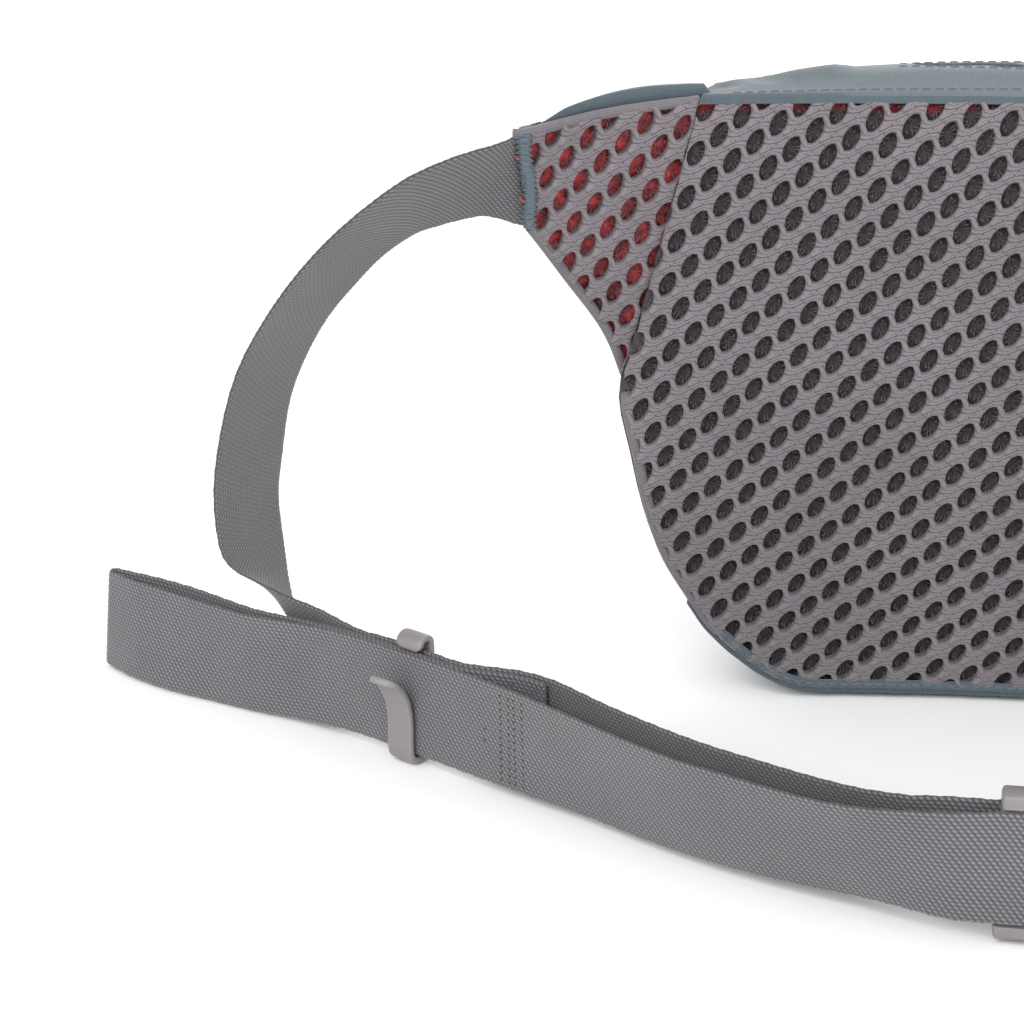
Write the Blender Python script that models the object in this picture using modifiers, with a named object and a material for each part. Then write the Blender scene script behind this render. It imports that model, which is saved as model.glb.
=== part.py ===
"""Waist-worn lumbar support cushion: a mesh-faced back panel with wings, a zip-closed padded
body behind it, and a webbing belt with a side-release buckle and a spring keeper.

Lengths below are millimetres and are turned into metres when a mesh is made.
+X is the wearer's left, -Y faces the wearer's back, +Z is up. The belt lies in front, at -Y.
"""
import math

import bmesh
import bpy
import numpy as np
from mathutils import Matrix, Vector

MM = 0.001
NAME = "lumbar_support_cushion"

# ---- overall sizes
BODY_H = 150.5          # height of the mesh panel's top edge
BODY_DEPTH = 68.0       # depth of the padded body behind the panel, at the middle
CROWN = 4.6             # how far the top panel crowns above the mesh edge
BASE_Y = 40.0           # the body's resting face is centred this far behind the panel's edge
HALF_BASE = 60.0        # half length of the flat bottom edge
HALF_WIDE = 116.7       # half width of the panel at its widest
HALF_TOP = 100.0        # half length of the panel's top edge
WIDE_Z = 80.0           # height of the widest point
LIFT = 2.0              # the panel's bottom edge stands on its binding
WING_REACH = 38.5       # how far a wing reaches past the top corner
WING_TIP_H = 25.0       # height of the wing's end
CORE_FILL = 0.95        # the foam core stops short of the body's rounded ends
BODY_STATIONS = 20      # sections along the padded body
BULGE = 9.0             # how far the lumbar pad swells towards the back

# ---- layers
GAP = 0.3
MESH_T = 4.0            # spacer mesh on the panel
WING_MESH_T = 3.0
LINER_T = 1.4
WING_FOAM_T = 3.0
WING_SHELL_T = 1.8
SLANT = 1.36            # a wing's end lies this aslant to Y: thickness along Y over true thickness
SEW_GAP = 0.42          # clearance along Y on each face of the sewn-in webbing
SHELL_T = 1.8
PAD_BACK = 8.0          # plane of the pad's back, behind the panel's edge surface
BIND_T = 1.4
BIND_W = 9.6
BIND_TO_Z = 24.0        # the binding runs round the bottom up to this height

# ---- webbing and hardware
WEB_W = 25.0
WEB_T = 1.3
KEEP_W = 7.5
KEEP_T = 1.7
KEEPER_X = -162.0
BUCKLE_Y = -117.0
BUCKLE_H = WEB_W + 8.6    # walls of 3.4 mm and a slot 0.7 mm longer at each end
BUCKLE_Z = BUCKLE_H / 2 + 0.4
BUCKLE_T = 11.0
WALL = 2.2
BAR_T = 3.6
SLOT = 4.2
PRONG_CLEAR = 0.5
ARM_T = 2.3
ARM_L = 16.5

# ---- zip
ZIP_Y = 20.0
ZIP_HALF = 52.0
ZIP_SLOT = 8.0
TAPE_W = 4.6
TAPE_T = 0.7
CHAIN_W = 4.2
CHAIN_H = 1.5
SLIDER_L = 9.0
SLIDER_X = 44.0
PULL_L = 24.0


# ------------------------------------------------------------------ helpers
def clear_scene():
    for ob in list(bpy.data.objects):
        bpy.data.objects.remove(ob, do_unlink=True)


def collection(name):
    col = bpy.data.collections.new(name)
    bpy.context.scene.collection.children.link(col)
    return col


def material(name, colour, rough=0.8, metal=0.0):
    mat = bpy.data.materials.get(name)
    if mat is None:
        mat = bpy.data.materials.new(name)
        mat.use_nodes = True
        bsdf = mat.node_tree.nodes["Principled BSDF"]
        bsdf.inputs["Base Color"].default_value = (*colour, 1.0)
        bsdf.inputs["Roughness"].default_value = rough
        bsdf.inputs["Metallic"].default_value = metal
        mat.diffuse_color = (*colour, 1.0)
    return mat


MATS = {
    "spacer_mesh": ((0.160, 0.145, 0.158), 0.9),
    "foam_dark": ((0.035, 0.032, 0.036), 0.95),
    "red_fabric": ((0.400, 0.030, 0.035), 0.8),
    "shell_fabric": ((0.100, 0.128, 0.148), 0.75),
    "foam_light": ((0.550, 0.520, 0.450), 0.95),
    "zip_tape": ((0.060, 0.085, 0.105), 0.8),
    "zip_plastic": ((0.050, 0.060, 0.070), 0.4),
    "webbing": ((0.175, 0.172, 0.182), 0.85),
    "keeper_plastic": ((0.340, 0.315, 0.320), 0.45),
    "buckle_plastic": ((0.300, 0.285, 0.290), 0.45),
    "thread": ((0.090, 0.150, 0.190), 0.7),
}


def finish(ob, mat, smooth=True, parent=None):
    ob.data.materials.clear()
    ob.data.materials.append(material(mat, *MATS[mat]))
    PARTS.objects.link(ob)
    if parent is not None:
        ob.parent = parent
    if smooth:
        ob.data.shade_smooth()
        ob.data.set_sharp_from_angle(angle=math.radians(40))
    return ob


def empty(name, at, parent=None, turn=(0, 0, 0)):
    ob = bpy.data.objects.new(name, None)
    ob.empty_display_size = 0.01
    ob.location = Vector(at) * MM
    ob.rotation_euler = turn
    ob.parent = parent
    PARTS.objects.link(ob)
    return ob


def loft(name, rings, mat, parent=None, origin=(0, 0, 0)):
    """A closed solid through rings of points, capped at both ends."""
    bm = bmesh.new()
    org = Vector(origin)
    rows = [[bm.verts.new((Vector(p) - org) * MM) for p in ring] for ring in rings]
    n = len(rows[0])
    for a, b in zip(rows, rows[1:]):
        for i in range(n):
            j = (i + 1) % n
            bm.faces.new((a[i], a[j], b[j], b[i]))
    bm.faces.new(rows[0][::-1])
    bm.faces.new(rows[-1])
    bmesh.ops.triangulate(bm, faces=[f for f in bm.faces if len(f.verts) > 4])
    bmesh.ops.recalc_face_normals(bm, faces=bm.faces)
    me = bpy.data.meshes.new(name)
    bm.to_mesh(me)
    bm.free()
    ob = bpy.data.objects.new(name, me)
    ob.location = org * MM
    return finish(ob, mat, parent=parent)


def box_mesh(bm, low, high):
    low, high = Vector(low), Vector(high)
    size = high - low
    mat = Matrix.Translation((low + high) / 2 * MM) @ Matrix.Diagonal((*(size * MM), 1.0))
    bmesh.ops.create_cube(bm, size=1.0, matrix=mat)


def box(name, low, high, mat, bevel=0.0, parent=None, origin=(0, 0, 0), segments=2):
    """A block with rounded edges; its origin is given apart from its corners."""
    bm = bmesh.new()
    org = Vector(origin)
    box_mesh(bm, Vector(low) - org, Vector(high) - org)
    me = bpy.data.meshes.new(name)
    bm.to_mesh(me)
    bm.free()
    ob = bpy.data.objects.new(name, me)
    ob.location = org * MM
    finish(ob, mat, smooth=False, parent=parent)
    if bevel:
        mod = ob.modifiers.new("round", "BEVEL")
        mod.width, mod.segments, mod.limit_method = bevel * MM, segments, "ANGLE"
    return ob


def cutter(name, low, high, parent=None, bevel=0.0):
    bm = bmesh.new()
    box_mesh(bm, low, high)
    me = bpy.data.meshes.new(name)
    bm.to_mesh(me)
    bm.free()
    ob = bpy.data.objects.new(name, me)
    CUTTERS.objects.link(ob)
    ob.parent = parent
    ob.hide_render, ob.display_type = True, "WIRE"
    if bevel:
        mod = ob.modifiers.new("round", "BEVEL")
        mod.width, mod.segments, mod.limit_method = bevel * MM, 2, "ANGLE"
    return ob


def cut(ob, *tools, operation="DIFFERENCE"):
    for tool in tools:
        mod = ob.modifiers.new(tool.name, "BOOLEAN")
        mod.operation, mod.object, mod.solver = operation, tool, "EXACT"


def catmull(rows, per=4):
    """A smooth curve through rows of numbers, sampled per times between neighbours."""
    pts = np.array(rows, float)
    ext = np.vstack([2 * pts[0] - pts[1], pts, 2 * pts[-1] - pts[-2]])
    out = []
    for i in range(len(pts) - 1):
        a, b, c, d = ext[i:i + 4]
        for k in range(per):
            t = k / per
            out.append(0.5 * (2 * b + (c - a) * t + (2 * a - 5 * b + 4 * c - d) * t * t
                              + (3 * b - a - 3 * c + d) * t ** 3))
    out.append(pts[-1])
    return np.array(out)


def unit(v):
    return v / np.linalg.norm(v)


def strip_rings(rows, width, thick):
    """Rings of a flat strip whose rows hold a centre point and the direction of its width."""
    pos, wide = rows[:, :3], rows[:, 3:6]
    rings = []
    for i, p in enumerate(pos):
        t = unit(pos[min(i + 1, len(pos) - 1)] - pos[max(i - 1, 0)])
        w = unit(wide[i])
        n = unit(np.cross(t, w))
        a, b = w * width / 2, n * thick / 2
        rings.append([p - a - b, p + a - b, p + a + b, p - a + b])
    return rings


def mirrored(rings):
    return [[(-p[0], p[1], p[2]) for p in ring] for ring in rings]


# ------------------------------------------------------------------ the panel's surfaces
def outline_rows():
    """Half outline of the mesh panel from the flat bottom edge up to its top corner."""
    h, w, b = BODY_H / 150.5, HALF_WIDE / 116.7, HALF_BASE / 60.0
    side = [(60 * b, LIFT), (60 * b + (82 * w - 60 * b) * 6 / 11, 2.6 + LIFT - 2), (82 * w, 7), (93.4 * w, 17 * h), (99.7 * w, 26 * h),
            (106.6 * w, 38 * h), (110.9 * w, 51 * h), (113.9 * w, 65 * h), (HALF_WIDE, WIDE_Z * h)]
    n = 5
    for k in range(1, n + 1):
        side.append((HALF_WIDE + (HALF_TOP - HALF_WIDE) * k / n,
                     WIDE_Z * h + (BODY_H - WIDE_Z * h) * k / n))
    return catmull(side, 4)


OUT = outline_rows()


def half_width(z):
    return float(np.interp(z, OUT[:, 1], OUT[:, 0], left=OUT[0, 0]))


def edge_y(x):
    """Plan curve of the panel's edges: flat in the middle, wrapping forward in the wings."""
    d = abs(x) - (HALF_TOP + 1)
    if d <= 0:
        return 2 - 12 * (x / (HALF_TOP + 1)) ** 2
    return -10 - 0.2376 * d - 0.0072 * d * d


def panel_y(x, z):
    """The mesh's face: the edge curve with the lumbar swell added."""
    across = max(0.0, 1 - (x / (HALF_WIDE + 1.5)) ** 2)
    up = max(0.0, 1 - ((z - BODY_H / 2) / (BODY_H / 2 + 2)) ** 2)
    return edge_y(x) - BULGE * across * up


def panel_slab(name, mat, near, far, shrink=0.0, nu=18, every=4):
    """A layer of the panel between two depth functions, drawn in from the outline by shrink."""
    rows = OUT[::every]
    if len(OUT) % every != 1:
        rows = np.vstack([rows, OUT[-1:]])
    rings = []
    for k in range(nu + 1):
        u = math.sin(math.pi / 2 * (2 * k / nu - 1))
        front, back = [], []
        for x0, z0 in rows:
            x = u * (x0 - shrink)
            z = min(max(z0, LIFT + shrink), BODY_H - shrink)
            front.append((x, near(x, z), z))
            back.append((x, far(x, z), z))
        rings.append(front + back[::-1])
    return loft(name, rings, mat, parent=ROOT)


# ------------------------------------------------------------------ wings
def wing_edges(t):
    """Top and bottom points of a wing's section, t from the crease to the tip."""
    h = BODY_H / 150.5
    tip_x, tip_z = HALF_TOP + WING_REACH, 145.5 * h
    low_z = tip_z - WING_TIP_H
    top = catmull([(HALF_TOP + 0.6, BODY_H), (HALF_TOP + 0.55 * WING_REACH, BODY_H - 2.0),
                   (tip_x, tip_z)], 8)
    wide_z = WIDE_Z * h
    low = catmull([(HALF_WIDE + 0.6, wide_z), (HALF_WIDE + 0.24 * (tip_x - HALF_WIDE), wide_z + 13),
                   (HALF_WIDE + 0.64 * (tip_x - HALF_WIDE), wide_z + 0.67 * (low_z - wide_z)),
                   (tip_x - 0.4, low_z)], 8)

    def at(c, s):
        s = s * (len(c) - 1)
        i = min(int(s), len(c) - 2)
        return c[i] + (c[i + 1] - c[i]) * (s - i)

    return at(top, t), at(low, t)


def wing_y(x, z):
    """The wing's face: it leans forward more and more towards the tip."""
    d = max(0.0, abs(x) - HALF_TOP)
    return edge_y(x) - 0.44 * (d / WING_REACH) ** 1.5 * (z - 0.875 * BODY_H)


def wing_slab(name, mat, near, far, t0=0.0, t1=1.0, inset=0.0, puff=0.0, side=1, nu=9, nv=7):
    rings = []
    for i in range(nu + 1):
        t = t0 + (t1 - t0) * i / nu
        top, low = wing_edges(t)
        front, back = [], []
        for k in range(nv + 1):
            v = k / nv
            p = low + (top - low) * v
            span = top - low
            p = p + unit(span) * (inset * (1 - 2 * v))
            x, z = float(p[0]), float(p[1])
            swell = puff * math.sin(math.pi * v) * math.sin(math.pi * min(1, t + 0.06)) if puff else 0.0
            front.append((side * x, wing_y(x, z) + near, z))
            back.append((side * x, wing_y(x, z) + far + swell, z))
        rings.append(front + back[::-1])
    return loft(name, rings, mat, parent=ROOT)


# ------------------------------------------------------------------ padded body
def body_profile(u, inset=0.0, t0=0.0, t1=1.0, n=30):
    """Path around the padded body at station u (-1..1): from the bottom front edge, under the
    body, up the rear and over the top to the front edge. t0..t1 picks a part of it."""
    depth = BODY_DEPTH * (1 - abs(u) ** 2.0) ** 0.6 + 4.5
    crown = CROWN * (1 - u ** 4)
    rb = min(16.0, 0.42 * depth) - inset * 0.5
    top = BODY_H + crown - inset
    bot = inset
    b = min(55.0, 0.36 * BODY_H)
    front_x = abs(u) * half_width(BODY_H / 2)
    yf = 0.0
    yr = depth - inset
    ya = min(5.0, 0.35 * depth)          # where the top's fall begins
    a = yr - ya
    path = [(yf, bot), (max(yr - rb, yf + 0.2), bot)]
    for k in range(1, 6):
        q = math.pi / 2 * k / 5
        path.append((yr - rb + rb * math.sin(q), bot + rb - rb * math.cos(q)))
    zc = top - (b - inset * 0.5)
    for k in range(1, 4):
        path.append((yr, bot + rb + (zc - bot - rb) * k / 3))
    for k in range(1, 11):
        q = math.pi / 2 * k / 10
        path.append((ya + a * math.cos(q), zc + (top - zc) * math.sin(q)))
    path.append((max(1.2, ya * 0.3), top - 0.35 * crown / max(CROWN, 0.1)))
    path.append((yf, top - 0.9 - 1.0 * crown / max(CROWN, 0.1)))
    path = np.array(path)
    length = np.concatenate([[0], np.cumsum(np.linalg.norm(np.diff(path, axis=0), axis=1))])
    marks = sorted(set([t0, t1] + [s for s in length / length[-1] if t0 < s < t1]))
    out = []
    for s in marks:
        y = float(np.interp(s * length[-1], length, path[:, 0]))
        z = float(np.interp(s * length[-1], length, path[:, 1]))
        out.append((y, z))
    return out


def body_point(u, y, z):
    x = u * half_width(min(max(z, 0.0), BODY_H))
    return (x, edge_y(x) + PAD_BACK + LINER_T + 2 * GAP + 0.3 + y, z)


def body_band(name, mat, k0, k1, nu=BODY_STATIONS):
    """A fabric panel of the body: outer path and the same path SHELL_T further in."""
    rings = []
    for i in range(nu + 1):
        u = math.sin(math.pi / 2 * (2 * i / nu - 1))
        outer, inner = [body_profile(u, t)[k0:k1] for t in (0.0, SHELL_T)]
        for path in (outer, inner):
            if k0:                       # the seam's gap to the panel below
                a, b = np.array(path[0]), np.array(path[1])
                path[0] = tuple(a + unit(b - a) * GAP)
        rings.append([body_point(u, *p) for p in outer] + [body_point(u, *p) for p in inner[::-1]])
    return loft(name, rings, mat, parent=ROOT)


# ------------------------------------------------------------------ belt paths
# Centre line of the belt's front run, X, Y, Z and forward lean in degrees, from the buckle out.
FRONT_RUN = [(-38.0, -119.2, 17.0, 4), (-47.0, -117.6, 16.5, 12), (-57.2, -114.4, 15.8, 17),
             (-68.4, -110.0, 15.2, 16), (-81.0, -104.0, 14.7, 13), (-92.8, -97.6, 14.3, 12),
             (-104.3, -90.4, 14.2, 10), (-116.4, -82.3, 14.4, 8), (-127.0, -75.6, 14.6, 4),
             (-138.0, -69.0, 14.8, 1), (-150.0, -61.8, 14.9, 0), (-160.0, -55.8, 14.9, 0),
             (-170.0, -49.9, 14.9, 0), (-178.0, -45.2, 14.6, 0), (-186.0, -40.9, 14.0, -1),
             (-195.0, -37.2, 13.4, -1), (-205.8, -33.6, 13.0, 0), (-216.7, -28.8, 12.9, -3),
             (-227.5, -24.0, 12.9, -8), (-238.0, -18.5, 12.9, -8), (-246.5, -12.6, 12.9, -6)]
# How far the folded-back tail and the main strap lie behind the front run, along it.
TAIL_BEHIND = {-246.5: 2.6, -238.0: 5.4, -227.5: 5.8, -216.7: 5.2, -205.8: 4.2, -195.0: 3.0,
               -186.0: 2.1, -178.0: 1.8, -150.0: 1.8, -144.0: 4.2, -138.0: 7.2, -131.0: 8.4}
MAIN_BEHIND = {-195.0: 7.4, -186.0: 5.6, -178.0: 3.7, -150.0: 3.6, -144.0: 6.3, -138.0: 9.3,
               -131.0: 10.5, -116.4: 9.6, -92.8: 9.6, -68.4: 9.0, -57.2: 8.2, -47.0: 6.6, -38.0: 5.2}
# The strap from the wing's tip out, round and down to the front run: centre and width direction.
ARC = [(-145.0, -30.3, 134.0, 0.20, -0.58, 0.79), (-151.5, -35.4, 133.2, 0.14, -0.66, 0.74),
       (-157.5, -39.6, 131.6, 0.08, -0.72, 0.69), (-163.0, -43.0, 129.3, 0.00, -0.79, 0.61),
       (-171.7, -47.6, 122.9, -0.19, -0.88, 0.43), (-179.4, -50.2, 114.8, -0.29, -0.90, 0.32),
       (-186.3, -51.0, 105.7, -0.37, -0.92, 0.17), (-192.5, -50.0, 94.8, -0.42, -0.90, 0.05),
       (-197.5, -47.4, 81.5, -0.42, -0.91, -0.07), (-201.0, -43.2, 66.0, -0.42, -0.89, -0.12),
       (-202.6, -38.6, 52.0, -0.33, -0.90, -0.20), (-201.8, -34.2, 41.0, -0.25, -0.96, 0.11),
       (-199.4, -30.4, 32.0, -0.10, -0.88, 0.45), (-195.0, -28.0, 21.5, -0.05, -0.55, 0.83),
       (-187.0, -31.7, 16.2, 0.00, -0.20, 0.98)]


RAISE = (WEB_W - 25.0) / 2              # a wider or narrower webbing still stands on its lower edge


def arc_rows():
    """The arc, stretched between the belt's run and the wing's tip as the tip's height asks."""
    rows = [list(r) for r in ARC]
    foot, tip = rows[-1][2], 133.0
    top, low = wing_edges(1.0)
    grow = ((top[1] + low[1]) / 2 - foot - RAISE) / (tip - foot)
    for r in rows:
        r[2] = foot + RAISE + (r[2] - foot) * grow
    return rows


def front_at(x):
    """Point, travel direction, away direction and lean of the front run at x."""
    rows = catmull(FRONT_RUN, 6)[::-1]
    at = np.array([np.interp(x, rows[:, 0], rows[:, k]) for k in range(4)])
    more = np.array([np.interp(x + 1.0, rows[:, 0], rows[:, k]) for k in range(4)])
    t = unit(np.array([more[0] - at[0], more[1] - at[1], 0.0]))
    at[2] += RAISE
    return at[:3], t, np.array([-t[1], t[0], 0.0]), math.radians(at[3])


def behind(table, x):
    keys = sorted(table)
    return float(np.interp(x, keys, [table[k] for k in keys]))


def front_rows(xs, offset=lambda x: 0.0, up=0.0):
    rows = []
    for x in xs:
        p, _, away, lean = front_at(x)
        p = p + away * offset(x) + np.array([0, 0, up])
        rows.append([*p, *(-away * math.sin(lean) + np.array([0, 0, math.cos(lean)]))])
    return rows


def bar_turn(x_bar, r, y_mid, n=4, side=1):
    """Half turn of webbing round a bar, from behind it to in front of it."""
    rows = []
    for k in range(n + 1):
        q = math.pi * k / n
        rows.append([x_bar + side * r * math.sin(q), y_mid + r * math.cos(q), BUCKLE_Z, 0, 0, 1])
    return rows


LEG = BAR_T / 2 + GAP + WEB_T / 2       # webbing's centre line from the buckle's middle plane


def sewn_end():
    """Rows of the strap's end, flat between the wing's mesh and its outer fabric."""
    rows = []
    top, low = wing_edges(1.0)
    for back in (11.0, 7.5, 4.0, -0.9):
        x, z = top[0] - back, (top[1] + low[1]) / 2
        w = unit(np.array([0.0, wing_y(x, z + 1) - wing_y(x, z), 1.0]))
        rows.append([-x, wing_y(x, z) + WING_MESH_T + SEW_GAP + SLANT * WEB_T / 2, z, *w])
    return rows


def strap_rows():
    """Main strap: wing tip, arc, behind the front run, and in behind the adjuster's bars."""
    arc = sewn_end() + arc_rows()
    run = front_rows([-178, -170, -160, -150], lambda x: behind(MAIN_BEHIND, x), 0.3)
    run += front_rows([-144, -138, -131, -124, -116.4, -104.3, -92.8, -81, -68.4, -57.2, -47],
                      lambda x: behind(MAIN_BEHIND, x), 0.3)
    rows = catmull(arc + run, 3).tolist()
    end = [rows[-1], [-38.0, BUCKLE_Y + LEG + 0.6, BUCKLE_Z - 0.1, 0, -0.03, 1],
           [-31.0, BUCKLE_Y + LEG, BUCKLE_Z, 0, 0, 1], [-24.0, BUCKLE_Y + LEG, BUCKLE_Z, 0, 0, 1],
           [-16.5, BUCKLE_Y + LEG, BUCKLE_Z, 0, 0, 1]]
    return np.array(rows[:-1] + catmull(end, 3).tolist())


def tail_rows():
    """Tail: round the adjuster's bar, out along the front run, folded back and hemmed."""
    turn = bar_turn(-14.0, LEG, BUCKLE_Y, 6)
    turn = [[-15.6, BUCKLE_Y + LEG, BUCKLE_Z, 0, 0, 1]] + turn
    lead = [[-20.0, BUCKLE_Y - LEG, BUCKLE_Z, 0, 0, 1], [-28.0, BUCKLE_Y - LEG, BUCKLE_Z, 0, 0, 1]]
    xs = [-47.0, -57.2, -68.4, -81, -92.8, -104.3, -116.4, -127, -138, -150, -160, -170, -178, -186, -195,
          -205.8, -216.7, -227.5, -238, -244]
    out = catmull(lead + [[-37.0, BUCKLE_Y - LEG - 0.1, BUCKLE_Z - 0.3, 0, -0.07, 1]]
                  + front_rows(xs), 2).tolist()
    p, t, away, lean = front_at(-246.5)
    r = 1.6
    fold = []
    for k in range(1, 6):
        q = math.pi * k / 6
        c = p - t * (r * math.sin(q) * 1.4 + 1.0) + away * (r - r * math.cos(q))
        fold.append([*c, *(-away * math.sin(lean) + np.array([0, 0, math.cos(lean)]))])
    xs_back = [-246.5, -238, -227.5, -216.7, -205.8, -195, -186, -178, -170, -160, -150, -144, -138, -131.5]
    back = catmull(fold[-1:] + front_rows(xs_back, lambda x: behind(TAIL_BEHIND, x) + 0.6 * (x < -240), 0.0),
                   2).tolist()
    return np.array(turn + out + fold[:-1] + back)


def right_rows():
    """The other strap: a shorter mirrored arc that ends sewn round the female bar."""
    rows = strap_rows()
    keep = rows[rows[:, 0] < -40.0]
    return keep


# ------------------------------------------------------------------ build
def build_body():
    back_of_mesh = lambda x, z: panel_y(x, z) + MESH_T
    pad_back = lambda x, z: edge_y(x) + PAD_BACK
    panel_slab("mesh_panel", "spacer_mesh", panel_y, back_of_mesh)
    panel_slab("lumbar_pad", "foam_dark", lambda x, z: back_of_mesh(x, z) + GAP, pad_back, shrink=0.8)
    panel_slab("back_liner", "red_fabric", lambda x, z: edge_y(x) + PAD_BACK + GAP,
               lambda x, z: edge_y(x) + PAD_BACK + GAP + LINER_T, shrink=0.8)
    # binding round the panel's lower edge, from one widest point to the other
    side = [r for r in OUT.tolist() if r[1] <= BIND_TO_Z]
    pts = [(-x, z) for x, z in side[::-1]] + [(0.0, LIFT)] + [(x, z) for x, z in side]
    rows = []
    for i, (x, z) in enumerate(pts):
        a, b = pts[max(i - 1, 0)], pts[min(i + 1, len(pts) - 1)]
        t = unit(np.array([b[0] - a[0], b[1] - a[1]]))
        out = np.array([t[1], -t[0]]) * (GAP + BIND_T / 2 + 0.02)
        xx, zz = x + out[0], max(z + out[1], BIND_T / 2 + 0.25)
        rows.append([xx, edge_y(x) + BIND_W / 2 - 0.4, zz, 0, 1, 0])
    loft("bottom_binding", strip_rings(np.array(rows), BIND_W, BIND_T), "shell_fabric", parent=ROOT)

    n = len(body_profile(0.0))
    seam = n - 9
    body_band("shell_rear", "shell_fabric", 0, seam + 1)
    top = body_band("shell_top", "shell_fabric", seam, n)
    z_top = BODY_H + CROWN
    slot = cutter("zip_slot", (-ZIP_HALF - 2, ZIP_Y - ZIP_SLOT / 2, z_top - 8),
                  (ZIP_HALF + 2, ZIP_Y + ZIP_SLOT / 2, z_top + 4), ROOT)
    cut(top, slot)

    rings = []
    for i in range(3, BODY_STATIONS - 2):
        u = math.sin(math.pi / 2 * (2 * i / BODY_STATIONS - 1))
        rings.append([body_point(u * CORE_FILL, y + (0.5 if y < 0.5 else 0), z)
                      for y, z in body_profile(u, SHELL_T + 0.7)])
    core = loft("foam_core", rings, "foam_light", parent=ROOT)
    trench = cutter("zip_trench", (-ZIP_HALF - 6, ZIP_Y - TAPE_W - 1.0, z_top - SHELL_T - 3.6),
                    (ZIP_HALF + 6, ZIP_Y + TAPE_W + 1.0, z_top + 4), ROOT)
    cut(core, trench)
    return z_top


def build_zip(z_top):
    tape_z = z_top - SHELL_T - 1.9
    gap = 0.3
    for name, low, high in (("zip_tape_front", -TAPE_W - gap, -gap), ("zip_tape_rear", gap, TAPE_W + gap)):
        box(name, (-ZIP_HALF - 4, ZIP_Y + low, tape_z - TAPE_T), (ZIP_HALF + 4, ZIP_Y + high, tape_z),
            "zip_tape", parent=ROOT)
    chain_z = tape_z + GAP
    box("zip_chain", (-ZIP_HALF + 2, ZIP_Y - CHAIN_W / 2, chain_z),
        (ZIP_HALF - 2, ZIP_Y + CHAIN_W / 2, chain_z + CHAIN_H), "zip_plastic", 0.3, ROOT)
    for name, x in (("zip_stop_left", -ZIP_HALF + 0.2), ("zip_stop_right", ZIP_HALF - 1.7)):
        box(name, (x, ZIP_Y - CHAIN_W / 2 - 0.2, chain_z), (x + 1.5, ZIP_Y + CHAIN_W / 2 + 0.2, chain_z + 1.7),
            "zip_plastic", 0.25, ROOT)
    # slider: a plate over the chain with a flange down each side
    low = chain_z + CHAIN_H + 0.3
    half = CHAIN_W / 2 + 0.35
    slide = empty("zip_slider_origin", (SLIDER_X, ZIP_Y, chain_z + CHAIN_H), ROOT)
    dz = -(chain_z + CHAIN_H)
    body = box("zip_slider", (-SLIDER_L / 2, -half - 1.1, low + dz), (SLIDER_L / 2, half + 1.1, low + 1.1 + dz),
               "zip_plastic", 0.0, slide)
    joins = []
    for s in (-1, 1):
        a, b = sorted((s * half, s * (half + 1.1)))
        joins.append(cutter("slider_flange_%d" % (s + 1), (-SLIDER_L / 2, a, chain_z + 0.35 + dz),
                            (SLIDER_L / 2, b, low + 0.5 + dz), slide))
    # bridge that holds the pull
    for x in (-2.6, 1.6):
        joins.append(cutter("slider_post_%d" % x, (x, -1.3, low + 0.6 + dz), (x + 1.0, 1.3, low + 3.7 + dz), slide))
    joins.append(cutter("slider_bridge", (-2.6, -1.3, low + 2.8 + dz), (2.6, 1.3, low + 3.7 + dz), slide))
    cut(body, *joins, operation="UNION")
    # pull: a tab with an eye round the bridge, pivoting on a cross pin under it
    pin_z = low + 2.2
    pull = empty("zip_pull_origin", (0.0, 0.0, pin_z - (chain_z + CHAIN_H)), slide)
    tab = box("zip_pull", (-0.45, -3.8, -0.3), (PULL_L, 3.8, 0.3), "zip_plastic", 0.0, pull)
    eye = cutter("pull_eye", (0.45, -2.4, -2), (5.4, 2.4, 2), pull)
    cut(tab, eye)
    return slide


def build_wings():
    for side, tag in ((-1, "left"), (1, "right")):
        m = WING_MESH_T
        wing_slab("wing_mesh_" + tag, "spacer_mesh", 0.0, m, side=side)
        wing_slab("wing_liner_" + tag, "red_fabric", m + GAP, m + GAP + LINER_T, 0.0, 0.52, inset=0.6, side=side,
                  nu=7)
        f0 = m + 2 * GAP + LINER_T
        wing_slab("wing_foam_" + tag, "foam_dark", f0, f0 + WING_FOAM_T, 0.02, 0.46, inset=1.2, side=side, nu=7)
        s0 = f0 + WING_FOAM_T + GAP
        wing_shell(tag, side, m + 2 * SEW_GAP + SLANT * WEB_T, s0)
        tip = wing_edges(0.985)
        mid = (tip[0] + tip[1]) / 2
        rows = []
        for k in range(5):
            p = mid + (tip[0] - tip[1]) * (-0.42 + 0.84 * k / 4) + np.array([-0.2, 1.0])
            rows.append([side * p[0], wing_y(p[0], p[1]) - 0.6, p[1], 1, side * -0.6, 0])
        loft("wing_bartack_" + tag, strip_rings(np.array(rows), 2.4, 0.6), "thread", parent=ROOT)


def wing_shell(tag, side, near_tip, near_root):
    """Outer fabric of a wing: behind the foam at the root, close behind the strap at the tip."""
    nu, nv = 10, 6
    rings = []
    for i in range(nu + 1):
        t = i / nu
        top, low = wing_edges(t)
        f, b = [], []
        for k in range(nv + 1):
            p = low + (top - low) * (k / nv)
            y = wing_y(p[0], p[1]) + (near_root if t < 0.55 else near_tip)
            f.append((side * p[0], y, p[1]))
            b.append((side * p[0], y + WING_SHELL_T, p[1]))
        rings.append(f + b[::-1])
    return loft("wing_shell_" + tag, rings, "shell_fabric", parent=ROOT)


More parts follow.
